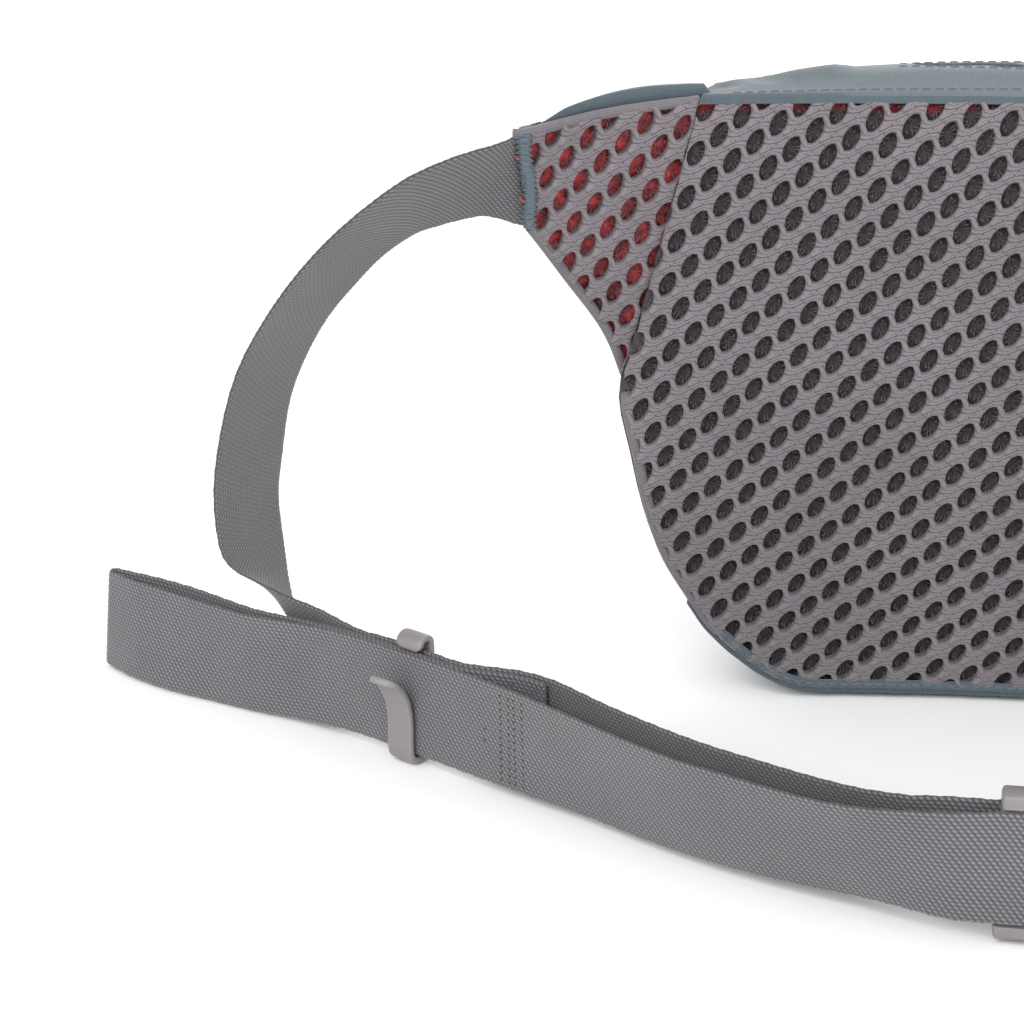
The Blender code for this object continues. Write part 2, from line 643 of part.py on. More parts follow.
def build_belts():
    strap = strip_rings(strap_rows(), WEB_W, WEB_T)
    loft("belt_strap_left", strap, "webbing", parent=ROOT)
    loft("belt_tail_left", strip_rings(tail_rows(), WEB_W, WEB_T), "webbing", parent=ROOT)
    # right strap: the mirrored arc and run, round the female bar and sewn back on itself
    rows = right_rows().tolist()
    bar = -(FEMALE_BAR + BAR_T / 4)
    rows = [r for r in rows if r[0] < -58.0 or r[2] > 30]
    lead = [rows[-1], [-50.0, BUCKLE_Y + LEG + 2.0, BUCKLE_Z - 0.6, 0, -0.1, 1],
            [-42.0, BUCKLE_Y + LEG + 0.1, BUCKLE_Z, 0, 0, 1], [bar - 2.0, BUCKLE_Y + LEG, BUCKLE_Z, 0, 0, 1]]
    turn = bar_turn(bar, LEG, BUCKLE_Y, 6)
    back = [[bar - 2.5, BUCKLE_Y - LEG, BUCKLE_Z, 0, 0, 1], [-38.0, BUCKLE_Y - LEG + 0.6, BUCKLE_Z, 0, 0, 1],
            [-44.0, BUCKLE_Y - LEG + 3.0, BUCKLE_Z, 0, 0, 1],
            [-50.0, BUCKLE_Y + LEG + 2.0 - WEB_T - 0.5, BUCKLE_Z - 0.6, 0, -0.1, 1],
            [-60.0, BUCKLE_Y + LEG + 6.4, BUCKLE_Z - 1.5, 0, -0.25, 1]]
    all_rows = np.array(rows[:-1] + catmull(lead, 3).tolist()[:-1] + turn + catmull(back, 3).tolist())
    loft("belt_strap_right", mirrored(strip_rings(all_rows, WEB_W, WEB_T)), "webbing", parent=ROOT)


def build_keeper():
    """A springy strip bent round all the webbing layers, hooked over their top edge."""
    p, t, away, _ = front_at(KEEPER_X)
    org = np.array([p[0], p[1], 0.0])
    back = behind(MAIN_BEHIND, KEEPER_X) + WEB_T / 2 + 0.4 + KEEP_T / 2
    front = -(WEB_T / 2 + 0.45 + KEEP_T / 2)
    bot = KEEP_T / 2 + 0.05
    top = p[2] + WEB_W / 2 + 0.3
    mid = (front + back) / 2
    path = [(front - 7.4, 23.4), (front - 5.2, 22.3), (front - 2.9, 19.8), (front - 1.2, 16.7),
            (front - 0.35, 13.4), (front, 10.0), (front, 6.5), (front, 3.6), (front + 0.45, 1.75),
            (front + 1.7, bot + 0.05), (mid, bot), (back - 1.7, bot + 0.05), (back - 0.45, 1.75), (back, 3.6),
            (back, 10), (back, 18), (back, top - 0.4)]
    r = 2.0
    for k in range(1, 8):
        q = math.pi * 1.12 * k / 7
        path.append((back - r + r * math.cos(q), top + 1.0 + r * math.sin(q)))
    rows = [[*(org + away * a + np.array([0, 0, z])), *t] for a, z in catmull(path, 2)]
    ob = loft("strap_keeper", strip_rings(np.array(rows), KEEP_W, KEEP_T), "keeper_plastic", parent=ROOT,
              origin=tuple(org + np.array([0, 0, p[2]])))
    return ob


FEMALE_MOUTH = 2.0
FEMALE_L = 32.0
FEMALE_BAR = FEMALE_MOUTH + FEMALE_L - BAR_T


def build_buckle():
    hub = empty("buckle_origin", (0, BUCKLE_Y, BUCKLE_Z), ROOT)
    h, t = BUCKLE_H / 2, BUCKLE_T / 2
    m = FEMALE_MOUTH
    female = box("buckle_female", (m, -t, -h), (m + FEMALE_L, t, h), "buckle_plastic", 1.6, hub)
    inner_h, inner_t = h - 3.4, t - WALL
    slot_x = FEMALE_BAR - SLOT
    cav = cutter("female_cavity", (m - 2, -inner_t, -inner_h), (slot_x - 2.6, inner_t, inner_h), hub)
    win = cutter("female_windows", (m + 6.0, -inner_t, -h - 2), (m + 14.6, inner_t, h + 2), hub)
    slot = cutter("female_slot", (slot_x, -t - 2, -WEB_W / 2 - 0.7), (FEMALE_BAR, t + 2, WEB_W / 2 + 0.7), hub)
    thin_a = cutter("female_bar_front", (FEMALE_BAR - 0.01, -t - 2, -WEB_W / 2 - 0.7),
                    (m + FEMALE_L + 2, -BAR_T / 2, WEB_W / 2 + 0.7), hub)
    thin_b = cutter("female_bar_rear", (FEMALE_BAR - 0.01, BAR_T / 2, -WEB_W / 2 - 0.7),
                    (m + FEMALE_L + 2, t + 2, WEB_W / 2 + 0.7), hub)
    cut(female, cav, win, slot, thin_a, thin_b)

    # male half: a block with the adjuster's slot and bars, and the middle tongue
    root_x = m - 2.2
    bar_r = BAR_T / 2
    male = box("buckle_male", (-28.0, -3.0, -h + 0.6), (root_x, 3.0, h - 0.6), "buckle_plastic", 0.9, hub)
    mslot = cutter("male_slot", (-13.6, -6, -WEB_W / 2 - 0.7), (-13.6 + SLOT + 0.6, 6, WEB_W / 2 + 0.7), hub)
    low_f = cutter("male_relief_front", (-30, -6, -WEB_W / 2 - 0.7), (-13.5, -bar_r, WEB_W / 2 + 0.7), hub)
    low_r = cutter("male_relief_rear", (-30, bar_r, -WEB_W / 2 - 0.7), (-13.5, 6, WEB_W / 2 + 0.7), hub)
    grip = cutter("male_grip_slot", (-21.6, -6, -WEB_W / 2 - 0.7), (-18.2, 6, WEB_W / 2 + 0.7), hub)
    cut(male, mslot, low_f, low_r, grip)
    tongue = cutter("male_tongue", (root_x - 1.0, -inner_t + PRONG_CLEAR, -3.2),
                    (root_x + ARM_L + 0.5, inner_t - PRONG_CLEAR, 3.2), hub)
    cut(male, tongue, operation="UNION")

    for tag, s in (("top", 1), ("bottom", -1)):
        z0 = s * (inner_h - PRONG_CLEAR - ARM_T)       # arm's inner face
        z1 = s * (inner_h - PRONG_CLEAR)
        pivot = empty("latch_%s_origin" % tag, (root_x + 0.3 + ARM_T / 2, 0, (z0 + z1) / 2), hub)
        half = inner_t - PRONG_CLEAR
        a = ARM_T / 2
        barb0, barb1 = m + 6.5 - (root_x + 0.3 + a), m + 13.6 - (root_x + 0.3 + a)
        # side view outline of an arm with its barb, root rounded about the pivot
        outline = [(-a * math.cos(q), -a * math.sin(q)) for q in (math.pi / 2, math.pi / 4, 0, -math.pi / 4,
                                                                   -math.pi / 2)]
        reach = h - 0.4 - abs((z0 + z1) / 2)
        outline += [(barb0, a), (barb0 + 0.2, reach), (barb1 - 2.2, reach), (barb1 + 1.2, a), (ARM_L - 2.6, a - 0.4),
                    (ARM_L - 2.6, -a + 0.4), (barb1, -a)]
        rings = [[(x, y, s * z) for x, z in outline] for y in (-half, half)]
        loft("latch_arm_" + tag, rings, "buckle_plastic", parent=pivot)


def main():
    global PARTS, CUTTERS, ROOT
    clear_scene()
    PARTS = collection(NAME)
    CUTTERS = collection("cutters")
    ROOT = empty("object_origin", (0, -BASE_Y, 0))
    z_top = build_body()
    build_zip(z_top)
    build_wings()
    build_belts()
    build_keeper()
    build_buckle()


main()
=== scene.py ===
"""Waist-worn lumbar support cushion: a knitted mesh face with two wings, a padded shell that closes
with a zip, and a webbing belt with a side-release buckle and a spring keeper.

Lengths in the code are millimetres; they become metres when a mesh is made. The belt lies in front,
at -Y, and +X is the wearer's left.
"""
import math

import bmesh
import bpy
import numpy as np
from mathutils import Matrix, Vector


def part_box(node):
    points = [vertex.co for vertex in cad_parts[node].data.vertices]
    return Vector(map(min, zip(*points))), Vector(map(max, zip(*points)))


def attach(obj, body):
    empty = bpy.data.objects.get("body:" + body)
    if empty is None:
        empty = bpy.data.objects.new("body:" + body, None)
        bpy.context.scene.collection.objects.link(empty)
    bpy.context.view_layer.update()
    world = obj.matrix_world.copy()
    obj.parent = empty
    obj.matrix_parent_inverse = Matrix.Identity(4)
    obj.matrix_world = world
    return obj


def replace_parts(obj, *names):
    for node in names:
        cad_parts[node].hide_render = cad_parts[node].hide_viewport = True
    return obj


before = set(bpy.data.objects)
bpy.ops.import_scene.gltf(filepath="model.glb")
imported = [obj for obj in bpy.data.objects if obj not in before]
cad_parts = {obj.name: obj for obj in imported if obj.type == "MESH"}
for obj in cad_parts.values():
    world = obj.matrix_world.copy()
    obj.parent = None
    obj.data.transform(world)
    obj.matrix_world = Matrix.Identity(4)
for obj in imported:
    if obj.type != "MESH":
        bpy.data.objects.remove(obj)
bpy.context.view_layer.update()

bl_info = {
    "name": "Lumbar support cushion",
    "version": (1, 0, 0),
    "blender": (4, 5, 0),
    "location": "3D View > Sidebar > Cushion",
    "description": "Builds the mesh face, wings, padded shell, zip, belt and hardware of a lumbar cushion",
    "category": "Object",
}

MM = 0.001


def node_box(name):
    """Lowest and highest corner of a solid, in millimetres."""
    low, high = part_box(name)
    return np.array(low) * 1000, np.array(high) * 1000


PANEL_LOW, PANEL_HIGH = node_box("mesh_panel")
BODY_H = float(PANEL_HIGH[2])               # height of the panel's top edge
HALF_WIDE = float(PANEL_HIGH[0])            # half width of the panel
TOP_Z = float(node_box("shell_top")[1][2])  # crown of the top panel
HALF_TOP = 100.0
WIDE_Z = 80.0
LIFT = float(PANEL_LOW[2])
FORWARD = 40.0                              # plan curves are written this far behind their place
BULGE = 9.0
WING_REACH = float(node_box("wing_mesh_left")[0][0]) * -1 - HALF_TOP
WING_TIP_H = 25.0
BODY_DEPTH = 68.0
CROWN = TOP_Z - BODY_H
WEB_W = 25.0
WEB_T = 1.3


# ------------------------------------------------------------------ settings a maker would change
def size(name, what, value, low, high):
    """A length in millimetres."""
    return bpy.props.FloatProperty(name=name, description=what + ", mm", default=value, min=low, max=high)


def angle(name, what, degrees):
    return bpy.props.FloatProperty(name=name, description=what, default=math.radians(degrees), subtype="ANGLE")


def colour(name, what, value):
    return bpy.props.FloatVectorProperty(name=name, description=what, default=value, subtype="COLOR",
                                         size=3, min=0, max=1)


class CushionCloth(bpy.types.PropertyGroup):
    """Sizes of the knit, the seams and the padding."""
    pitch: size("Hole pitch", "Distance between holes in a row", 8.6, 4, 20)
    row: size("Row pitch", "Distance between rows of holes", 5.2, 3, 15)
    hole_w: size("Hole width", "Width of a hole in the knit", 3.85, 1, 12)
    hole_h: size("Hole height", "Height of a hole in the knit", 6.7, 1, 16)
    lean: angle("Hole lean", "How far each hole leans over in its cell", 15)
    turn: angle("Turn of the knit", "How far the knit is turned on the panel", -11)
    knit_t: size("Knit depth", "Thickness of the spacer knit", 2.9, 1, 8)
    roll: size("Edge roll", "Radius of the panel's rolled edges", 2.6, 0.5, 6)
    puff: size("Padding", "How far the shell swells between its seams when no cloth is simulated", 2.6, 0, 6)
    stitch: size("Stitch pitch", "Distance from stitch to stitch", 2.9, 1, 6)


class CushionBelt(bpy.types.PropertyGroup):
    """Sizes of the webbing's weave."""
    bead: size("Weave pitch", "Length of one pick of the webbing", 1.35, 0.5, 3)
    cords: bpy.props.IntProperty(name="Cords across", description="Warp cords across the webbing",
                                 default=28, min=6, max=40)
    relief: size("Weave relief", "Height of the weave", 0.24, 0, 0.6)


class CushionColours(bpy.types.PropertyGroup):
    """Colours of the cloth, thread and plastic."""
    knit: colour("Knit", "Bands of the mesh face", (0.182, 0.163, 0.178))
    yarn: colour("Spacer yarn", "Yarn seen inside the holes", (0.058, 0.050, 0.056))
    liner: colour("Liner", "Red fabric behind the wings", (0.44, 0.030, 0.036))
    shell: colour("Shell", "Padded outer fabric", (0.076, 0.107, 0.124))
    webbing: colour("Webbing", "Belt webbing", (0.196, 0.193, 0.206))
    keeper: colour("Keeper", "Spring keeper", (0.205, 0.190, 0.196))
    buckle: colour("Buckle", "Buckle plastic", (0.180, 0.169, 0.174))
    thread: colour("Thread", "Topstitching", (0.085, 0.125, 0.148))
    zip: colour("Zip", "Zip teeth and slider", (0.045, 0.058, 0.068))


# ------------------------------------------------------------------ small helpers
def catmull(rows, per=4):
    """A smooth curve through rows of numbers, sampled per times between neighbours."""
    pts = np.array(rows, float)
    ext = np.vstack([2 * pts[0] - pts[1], pts, 2 * pts[-1] - pts[-2]])
    out = []
    for i in range(len(pts) - 1):
        a, b, c, d = ext[i:i + 4]
        for k in range(per):
            t = k / per
            out.append(0.5 * (2 * b + (c - a) * t + (2 * a - 5 * b + 4 * c - d) * t * t
                              + (3 * b - a - 3 * c + d) * t ** 3))
    out.append(pts[-1])
    return np.array(out)


def unit(v):
    return v / np.linalg.norm(v)


def smooth(x, a, b):
    t = np.clip((np.asarray(x, float) - a) / (b - a), 0, 1)
    return t * t * (3 - 2 * t)


def along(points):
    """Length along a line of points at each of them."""
    return np.concatenate([[0], np.cumsum(np.linalg.norm(np.diff(points, axis=0), axis=1))])


def evenly(rows, step):
    """Rows again, about step apart along their first three columns."""
    at = along(rows[:, :3])
    n = max(2, int(round(at[-1] / step)) + 1)
    want = np.linspace(0, at[-1], n)
    return np.stack([np.interp(want, at, rows[:, k]) for k in range(rows.shape[1])], axis=1)


def make_piece(name, points, faces, mat, body="cushion", slot=None, uv=None, floats=None, sharp=None):
    """A mesh piece in metres from points in millimetres; uv has a pair for each point."""
    me = bpy.data.meshes.new(name)
    me.from_pydata((np.asarray(points, float) * MM).tolist(), [], [tuple(int(i) for i in f) for f in faces])
    if uv is not None:
        layer = me.uv_layers.new(name="cloth")
        loops = np.zeros(len(me.loops), np.int32)
        me.loops.foreach_get("vertex_index", loops)
        layer.data.foreach_set("uv", (np.asarray(uv, np.float32)[loops] * MM).ravel())
    for key, values in (floats or {}).items():
        me.attributes.new(key, "FLOAT", "POINT").data.foreach_set("value", np.asarray(values, np.float32))
    me.validate()
    me.shade_smooth()
    if sharp:
        me.set_sharp_from_angle(angle=math.radians(sharp))
    ob = bpy.data.objects.new(name, me)
    bpy.context.scene.collection.objects.link(ob)
    return dress(ob, mat, body, slot)


def dress(ob, mat, body="cushion", slot=None):
    if mat is not None:
        ob.data.materials.clear()
        ob.data.materials.append(mat)
    if body:
        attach(ob, body)
    return ob


def slab_faces(n, m, wrap=False):
    """Faces of a closed solid between a front grid and a back grid of n by m points each."""
    g = np.arange(n * m).reshape(n, m)
    q = lambda a: np.stack([a[:-1, :-1], a[1:, :-1], a[1:, 1:], a[:-1, 1:]], -1).reshape(-1, 4)
    front, back = q(g), q(g + n * m)[:, ::-1]
    rim = np.concatenate([g[:, 0], g[-1, 1:], g[::-1, -1][1:], g[0, ::-1][1:-1]])
    nxt = np.roll(rim, -1)
    side = np.stack([nxt, rim, rim + n * m, nxt + n * m], -1)
    return np.concatenate([front, back, side])


def outward(ob):
    """Recalculates a closed piece's faces so that they point out."""
    bm = bmesh.new()
    bm.from_mesh(ob.data)
    bmesh.ops.recalc_face_normals(bm, faces=bm.faces)
    bm.to_mesh(ob.data)
    bm.free()
    return ob


def slab(name, front, back, mat, body="cushion", slot=None, uv=None):
    n, m = front.shape[:2]
    pts = np.concatenate([front.reshape(-1, 3), back.reshape(-1, 3)])
    uvs = None if uv is None else np.concatenate([uv.reshape(-1, 2)] * 2)
    return outward(make_piece(name, pts, slab_faces(n, m), mat, body, slot, uvs, sharp=60))


def tube(name, rings, mat, body="cushion", slot=None, uv=None, sharp=None):
    """A closed solid through rings of points, capped at both ends."""
    rings = np.asarray(rings, float)
    n, m = rings.shape[:2]
    g = np.arange(n * m).reshape(n, m)
    a, b = g[:-1], g[1:]
    faces = np.stack([a, np.roll(a, -1, 1), np.roll(b, -1, 1), b], -1).reshape(-1, 4).tolist()
    faces += [g[0, ::-1].tolist(), g[-1].tolist()]
    uvs = None if uv is None else np.asarray(uv, float).reshape(-1, 2)
    return outward(make_piece(name, rings.reshape(-1, 3), faces, mat, body, slot, uvs, sharp=sharp))


def circle(sides):
    return np.linspace(0, 2 * math.pi, sides + 1)[:-1]


def pipe(name, pts, radius, mat, beside, sides, flat=1.0, **keys):
    """A round cord through points; its section is turned by the direction beside and flattened by flat."""
    at, rings, uvs = along(pts), [], []
    for i, p in enumerate(pts):
        t = unit(pts[min(i + 1, len(pts) - 1)] - pts[max(i - 1, 0)])
        a = unit(np.cross(t, beside))
        b = np.cross(t, a)
        rings.append([p + radius * (math.cos(q) * a + math.sin(q) * flat * b) for q in circle(sides)])
        uvs.append([(at[i], radius * q) for q in circle(sides)])
    return tube(name, rings, mat, uv=uvs, **keys)


# ------------------------------------------------------------------ materials
def socket_key(key):
    """A node input's number from i0, i1 and so on, or its name with spaces."""
    return int(key[1:]) if key[0] == "i" and key[1:].isdigit() else key.replace("_", " ")


class Finish:
    """A material being built: cloth, thread or plastic with its own nodes."""

    def __init__(self, name, base, rough, sheen=0.0, specular=0.4):
        old = bpy.data.materials.get(name)
        if old:
            bpy.data.materials.remove(old)
        self.mat = bpy.data.materials.new(name)
        self.mat.use_nodes = True
        self.tree = self.mat.node_tree
        self.shader = self.tree.nodes["Principled BSDF"]
        self.base = base
        self.shader.inputs["Base Color"].default_value = (*base, 1)
        self.shader.inputs["Roughness"].default_value = rough
        self.shader.inputs["Specular IOR Level"].default_value = specular
        if sheen:
            self.shader.inputs["Sheen Weight"].default_value = sheen
            self.shader.inputs["Sheen Roughness"].default_value = 0.5
        self.mat.diffuse_color = (*base, 1)

    def add(self, kind, settings=None, **inputs):
        node = self.tree.nodes.new(kind)
        for key, value in (settings or {}).items():
            setattr(node, key, value)
        for key, value in inputs.items():
            self.feed(node.inputs[socket_key(key)], value)
        return node

    def feed(self, socket, value):
        if hasattr(value, "is_output"):
            self.tree.links.new(value, socket)
        else:
            socket.default_value = value

    def math(self, what, a, b=0.0, c=0.0):
        node = self.add("ShaderNodeMath", {"operation": what}, i0=a, i1=b)
        if what in ("MULTIPLY_ADD", "SMOOTH_MIN"):
            self.feed(node.inputs[2], c)
        return node.outputs[0]

    def place(self, kind="Object"):
        return self.add("ShaderNodeTexCoord").outputs[kind]

    def uv(self):
        return self.add("ShaderNodeUVMap", {"uv_map": "cloth"}).outputs[0]

    def value(self, name):
        return self.add("ShaderNodeAttribute", {"attribute_name": name}).outputs["Fac"]

    def noise(self, vector, scale, detail=3.0, rough=0.6):
        return self.add("ShaderNodeTexNoise", Vector=vector, Scale=scale, Detail=detail, Roughness=rough).outputs["Fac"]

    def stretch(self, vector, scale):
        return self.add("ShaderNodeMapping", Vector=vector, Scale=scale).outputs[0]

    def range(self, value, a, b, c, d):
        return self.add("ShaderNodeMapRange", {"clamp": True}, Value=value, From_Min=a, From_Max=b,
                        To_Min=c, To_Max=d).outputs[0]

    def mix(self, factor, a, b):
        node = self.add("ShaderNodeMix", {"data_type": "RGBA", "blend_type": "MIX"}, i0=factor)
        for socket, value in ((node.inputs[6], a), (node.inputs[7], b)):
            self.feed(socket, (*value, 1) if isinstance(value, tuple) and len(value) == 3 else value)
        return node.outputs[2]

    def shade(self, base, factor):
        """base multiplied by a grey factor."""
        grey = self.add("ShaderNodeCombineColor", Red=factor, Green=factor, Blue=factor).outputs[0]
        node = self.add("ShaderNodeMix", {"data_type": "RGBA", "blend_type": "MULTIPLY"}, i0=1.0)
        for socket, value in ((node.inputs[6], base), (node.inputs[7], grey)):
            self.feed(socket, (*value, 1) if isinstance(value, tuple) and len(value) == 3 else value)
        return node.outputs[2]

    def bump(self, height, depth, strength=1.0, normal=None):
        node = self.add("ShaderNodeBump", Height=height, Distance=depth, Strength=strength)
        if normal is not None:
            self.feed(node.inputs["Normal"], normal)
        return node.outputs[0]

    def done(self, colour_out=None, normal=None, rough=None):
        if colour_out is not None:
            self.feed(self.shader.inputs["Base Color"], colour_out)
        if normal is not None:
            self.feed(self.shader.inputs["Normal"], normal)
        if rough is not None:
            self.feed(self.shader.inputs["Roughness"], rough)
        return self.mat


def weave(f, coords, pitch):
    """Plain weave over and under from cloth coordinates, 0 in the gaps and 1 on the threads."""
    parts = f.add("ShaderNodeSeparateXYZ", Vector=coords)
    k = math.pi / (pitch * MM)
    a = f.math("SINE", f.math("MULTIPLY", parts.outputs[0], k))
    b = f.math("SINE", f.math("MULTIPLY", parts.outputs[1], k))
    return f.math("MULTIPLY_ADD", f.math("ABSOLUTE", f.math("MULTIPLY", a, b)), 0.6,
                  f.math("MULTIPLY", f.math("ADD", f.math("ABSOLUTE", a), f.math("ABSOLUTE", b)), 0.2))


def knit_finish(name, base):
    """Matt filament knit: courses curve round the holes, fine fibres, darker down the hole walls."""
    f = Finish(name, base, 0.88, sheen=0.25, specular=0.25)
    course = f.value("course")
    depth = f.value("depth")
    grooves = f.math("COSINE", f.math("MULTIPLY", course, 2 * math.pi * 3.2))
    line = f.math("MULTIPLY", f.range(grooves, 0.25, 0.9, 0.0, 1.0), f.range(course, 0.2, 0.9, 1.0, 0.35))
    uv = f.uv()
    fibre = f.noise(f.stretch(uv, (2200, 4400, 1)), 1.0, 4, 0.75)
    cloud = f.noise(f.place(), 38, 2, 0.5)
    shade = f.math("MULTIPLY_ADD", line, -0.66, 1.08)
    shade = f.math("MULTIPLY", shade, f.range(fibre, 0.28, 0.72, 0.66, 1.32))
    shade = f.math("MULTIPLY", shade, f.range(cloud, 0.3, 0.7, 0.93, 1.08))
    # painted shade: the knit's colour darkens with depth down the hole walls, standing in for the shade inside the
    # holes
    shade = f.math("MULTIPLY", shade, f.range(depth, 0.35, 1.5, 1.0, 0.34))
    height = f.math("MULTIPLY_ADD", line, -0.8, fibre)
    return f.done(f.shade(base, shade), f.bump(height, 0.00022, 0.9))


def pad_finish(name, base, liner, split_z):
    """Dark spacer backing with loose filaments; the red liner shows along the top seam."""
    f = Finish(name, base, 0.95, sheen=0.1, specular=0.15)
    where = f.place()
    tangle = f.noise(f.stretch(where, (1500, 1500, 700)), 1.0, 4, 0.75)
    tone = f.shade(base, f.range(tangle, 0.3, 0.7, 0.45, 1.7))
    parts = f.add("ShaderNodeSeparateXYZ", Vector=where)
    edge = f.math("ADD", parts.outputs[2], f.math("MULTIPLY", f.noise(where, 90, 2), 0.006))
    facing = f.add("ShaderNodeSeparateXYZ", Vector=f.place("Normal")).outputs[1]
    red = f.math("MULTIPLY", f.range(edge, split_z * MM + 0.0025, split_z * MM + 0.0045, 0.0, 1.0),
                 f.range(facing, -0.6, -0.3, 1.0, 0.0))
    return f.done(f.mix(red, tone, f.shade(liner, f.range(tangle, 0.3, 0.7, 0.35, 1.1))), f.bump(tangle, 0.0006, 0.8))


def cloth_finish(name, base, pitch=0.42, rough=0.72, sheen=0.35, lift=0.00010):
    """Woven shell fabric: fine weave, soft tone changes, lighter where it rubs."""
    f = Finish(name, base, rough, sheen=sheen, specular=0.3)
    uv = f.uv()
    threads = weave(f, uv, pitch)
    slub = f.noise(f.stretch(uv, (350, 2400, 1)), 1.0, 3, 0.6)
    cloud = f.noise(f.place(), 26, 3, 0.55)
    shade = f.math("MULTIPLY", f.range(threads, 0.1, 0.9, 0.72, 1.16), f.range(slub, 0.3, 0.7, 0.90, 1.10))
    shade = f.math("MULTIPLY", shade, f.range(cloud, 0.3, 0.7, 0.95, 1.05))
    return f.done(f.shade(base, shade), f.bump(threads, lift, 0.8, f.bump(slub, 0.00012, 0.5)),
                  f.range(cloud, 0.3, 0.7, rough - 0.06, rough + 0.06))


def liner_finish(name, base):
    """Glossy red lining seen through the holes: creased, with dark hollows and brighter high spots."""
    f = Finish(name, base, 0.5, sheen=0.1, specular=0.4)
    where = f.place()
    crease = f.noise(where, 520, 3, 0.65)
    broad = f.noise(where, 130, 2, 0.5)
    # painted shade and highlight: the crease noise darkens the hollows and lightens the high spots; the broad noise
    # makes wider patches darker
    shade = f.math("MULTIPLY", f.range(crease, 0.36, 0.66, 0.22, 1.25), f.range(broad, 0.35, 0.65, 0.65, 1.15))
    return f.done(f.shade(base, shade), f.bump(crease, 0.0008, 0.7))


def webbing_finish(name, base):
    """Filament webbing: the weave's gaps are dark, the floats carry fine lengthwise fibres."""
    f = Finish(name, base, 0.8, sheen=0.3, specular=0.3)
    high = f.value("high")
    uv = f.uv()
    fibre = f.noise(f.stretch(uv, (1400, 7000, 1)), 1.0, 3, 0.7)
    cloud = f.noise(f.place(), 45, 2, 0.5)
    # painted shade and highlight: colour follows the weave's height, dark in the gaps and a little lighter on the
    # raised floats
    shade = f.math("MULTIPLY", f.range(high, 0.10, 0.80, 0.30, 1.12), f.range(fibre, 0.25, 0.75, 0.84, 1.18))
    shade = f.math("MULTIPLY", shade, f.range(cloud, 0.3, 0.7, 0.93, 1.07))
    return f.done(f.shade(base, shade), f.bump(fibre, 0.00012, 0.8))


def plastic_finish(name, base, rough=0.42):
    """Moulded acetal: faint flow marks, a fine eggshell skin and slightly polished high spots."""
    f = Finish(name, base, rough, specular=0.5)
    where = f.place()
    skin = f.noise(where, 5200, 2, 0.5)
    flow = f.noise(f.stretch(where, (40, 40, 160)), 1.0, 3, 0.55)
    edge_wear_and_corner_shade = f.add("ShaderNodeNewGeometry").outputs["Pointiness"]
    # pointiness: high spots lighter with wear, and painted shade darkening hollows and inside corners
    shade = f.math("MULTIPLY", f.range(flow, 0.3, 0.7, 0.93, 1.07), f.range(edge_wear_and_corner_shade, 0.46, 0.56, 0.88, 1.12))
    return f.done(f.shade(base, shade), f.bump(skin, 0.00003, 0.5), f.range(flow, 0.3, 0.7, rough - 0.07, rough + 0.07))


def thread_finish(name, base):
    """Twisted sewing thread."""
    f = Finish(name, base, 0.6, sheen=0.3, specular=0.4)
    twist = f.add("ShaderNodeTexWave", {"bands_direction": "DIAGONAL"}, Vector=f.place(), Scale=900.0,
                  Distortion=1.0).outputs["Fac"]
    return f.done(f.shade(base, f.range(twist, 0.0, 1.0, 0.75, 1.15)), f.bump(twist, 0.00006, 0.7))


FIN = {}


def build_finishes():
    c = bpy.context.scene.cushion_colours
    get = lambda key: tuple(getattr(c, key))
    FIN.update(
        knit=knit_finish("knit_face", get("knit")),
        rim=cloth_finish("knit_rim", tuple(v * 0.86 for v in get("knit")), 0.55, 0.88, 0.25, 0.0001),
        pad=pad_finish("spacer_backing", get("yarn"), get("liner"), BODY_H - 4),
        yarn=thread_finish("spacer_yarn", tuple(v * 2.1 for v in get("yarn"))),
        liner=liner_finish("red_liner", get("liner")),
        shell=cloth_finish("shell_fabric", get("shell")),
        binding=cloth_finish("binding_tape", get("shell"), 0.7, 0.7, 0.3, 0.00018),
        webbing=webbing_finish("belt_webbing", get("webbing")),
        keeper=plastic_finish("keeper_acetal", get("keeper"), 0.40),
        buckle=plastic_finish("buckle_acetal", get("buckle"), 0.44),
        zip=plastic_finish("zip_acetal", get("zip"), 0.35),
        tape=cloth_finish("zip_tape", tuple(v * 0.7 for v in get("shell")), 0.5, 0.8, 0.2, 0.00012),
        thread=thread_finish("topstitch_thread", get("thread")),
        dark_thread=thread_finish("cross_stitch_thread", (0.030, 0.030, 0.034)),
        red_thread=thread_finish("bartack_fleck", (0.45, 0.03, 0.04)),
    )


# ------------------------------------------------------------------ geometry nodes
def new_tree(name, sockets):
    """An empty geometry tree with named inputs; returns it with its input node and identifiers."""
    tree = bpy.data.node_groups.new(name, "GeometryNodeTree")
    ids = {}
    for label, kind in sockets:
        ids[label] = tree.interface.new_socket(label, in_out="INPUT", socket_type=kind).identifier
    tree.interface.new_socket("Geometry", in_out="OUTPUT", socket_type="NodeSocketGeometry")
    return tree, tree.nodes.new("NodeGroupInput"), tree.nodes.new("NodeGroupOutput"), ids


def put(tree, kind, settings=None, **inputs):
    node = tree.nodes.new(kind)
    for key, value in (settings or {}).items():
        setattr(node, key, value)
    for key, value in inputs.items():
        socket = node.inputs[socket_key(key)]
        if hasattr(value, "is_output"):
            tree.links.new(value, socket)
        else:
            socket.default_value = value
    return node


def run_tree(tree, ids, values, host=None):
    """Applies a tree to a mesh object and returns the result as a plain mesh."""
    own = host is None
    if own:
        host = bpy.data.objects.new("host", bpy.data.meshes.new("host"))
        bpy.context.scene.collection.objects.link(host)
    mod = host.modifiers.new("nodes", "NODES")
    mod.node_group = tree
    for label, value in values.items():
        mod[ids[label]] = value
    host.update_tag()
    graph = bpy.context.evaluated_depsgraph_get()
    mesh = bpy.data.meshes.new_from_object(host.evaluated_get(graph), preserve_all_data_layers=True, depsgraph=graph)
    host.modifiers.remove(mod)
    old = host.data
    bpy.data.objects.remove(host)
    if old.users == 0:
        bpy.data.meshes.remove(old)
    return mesh


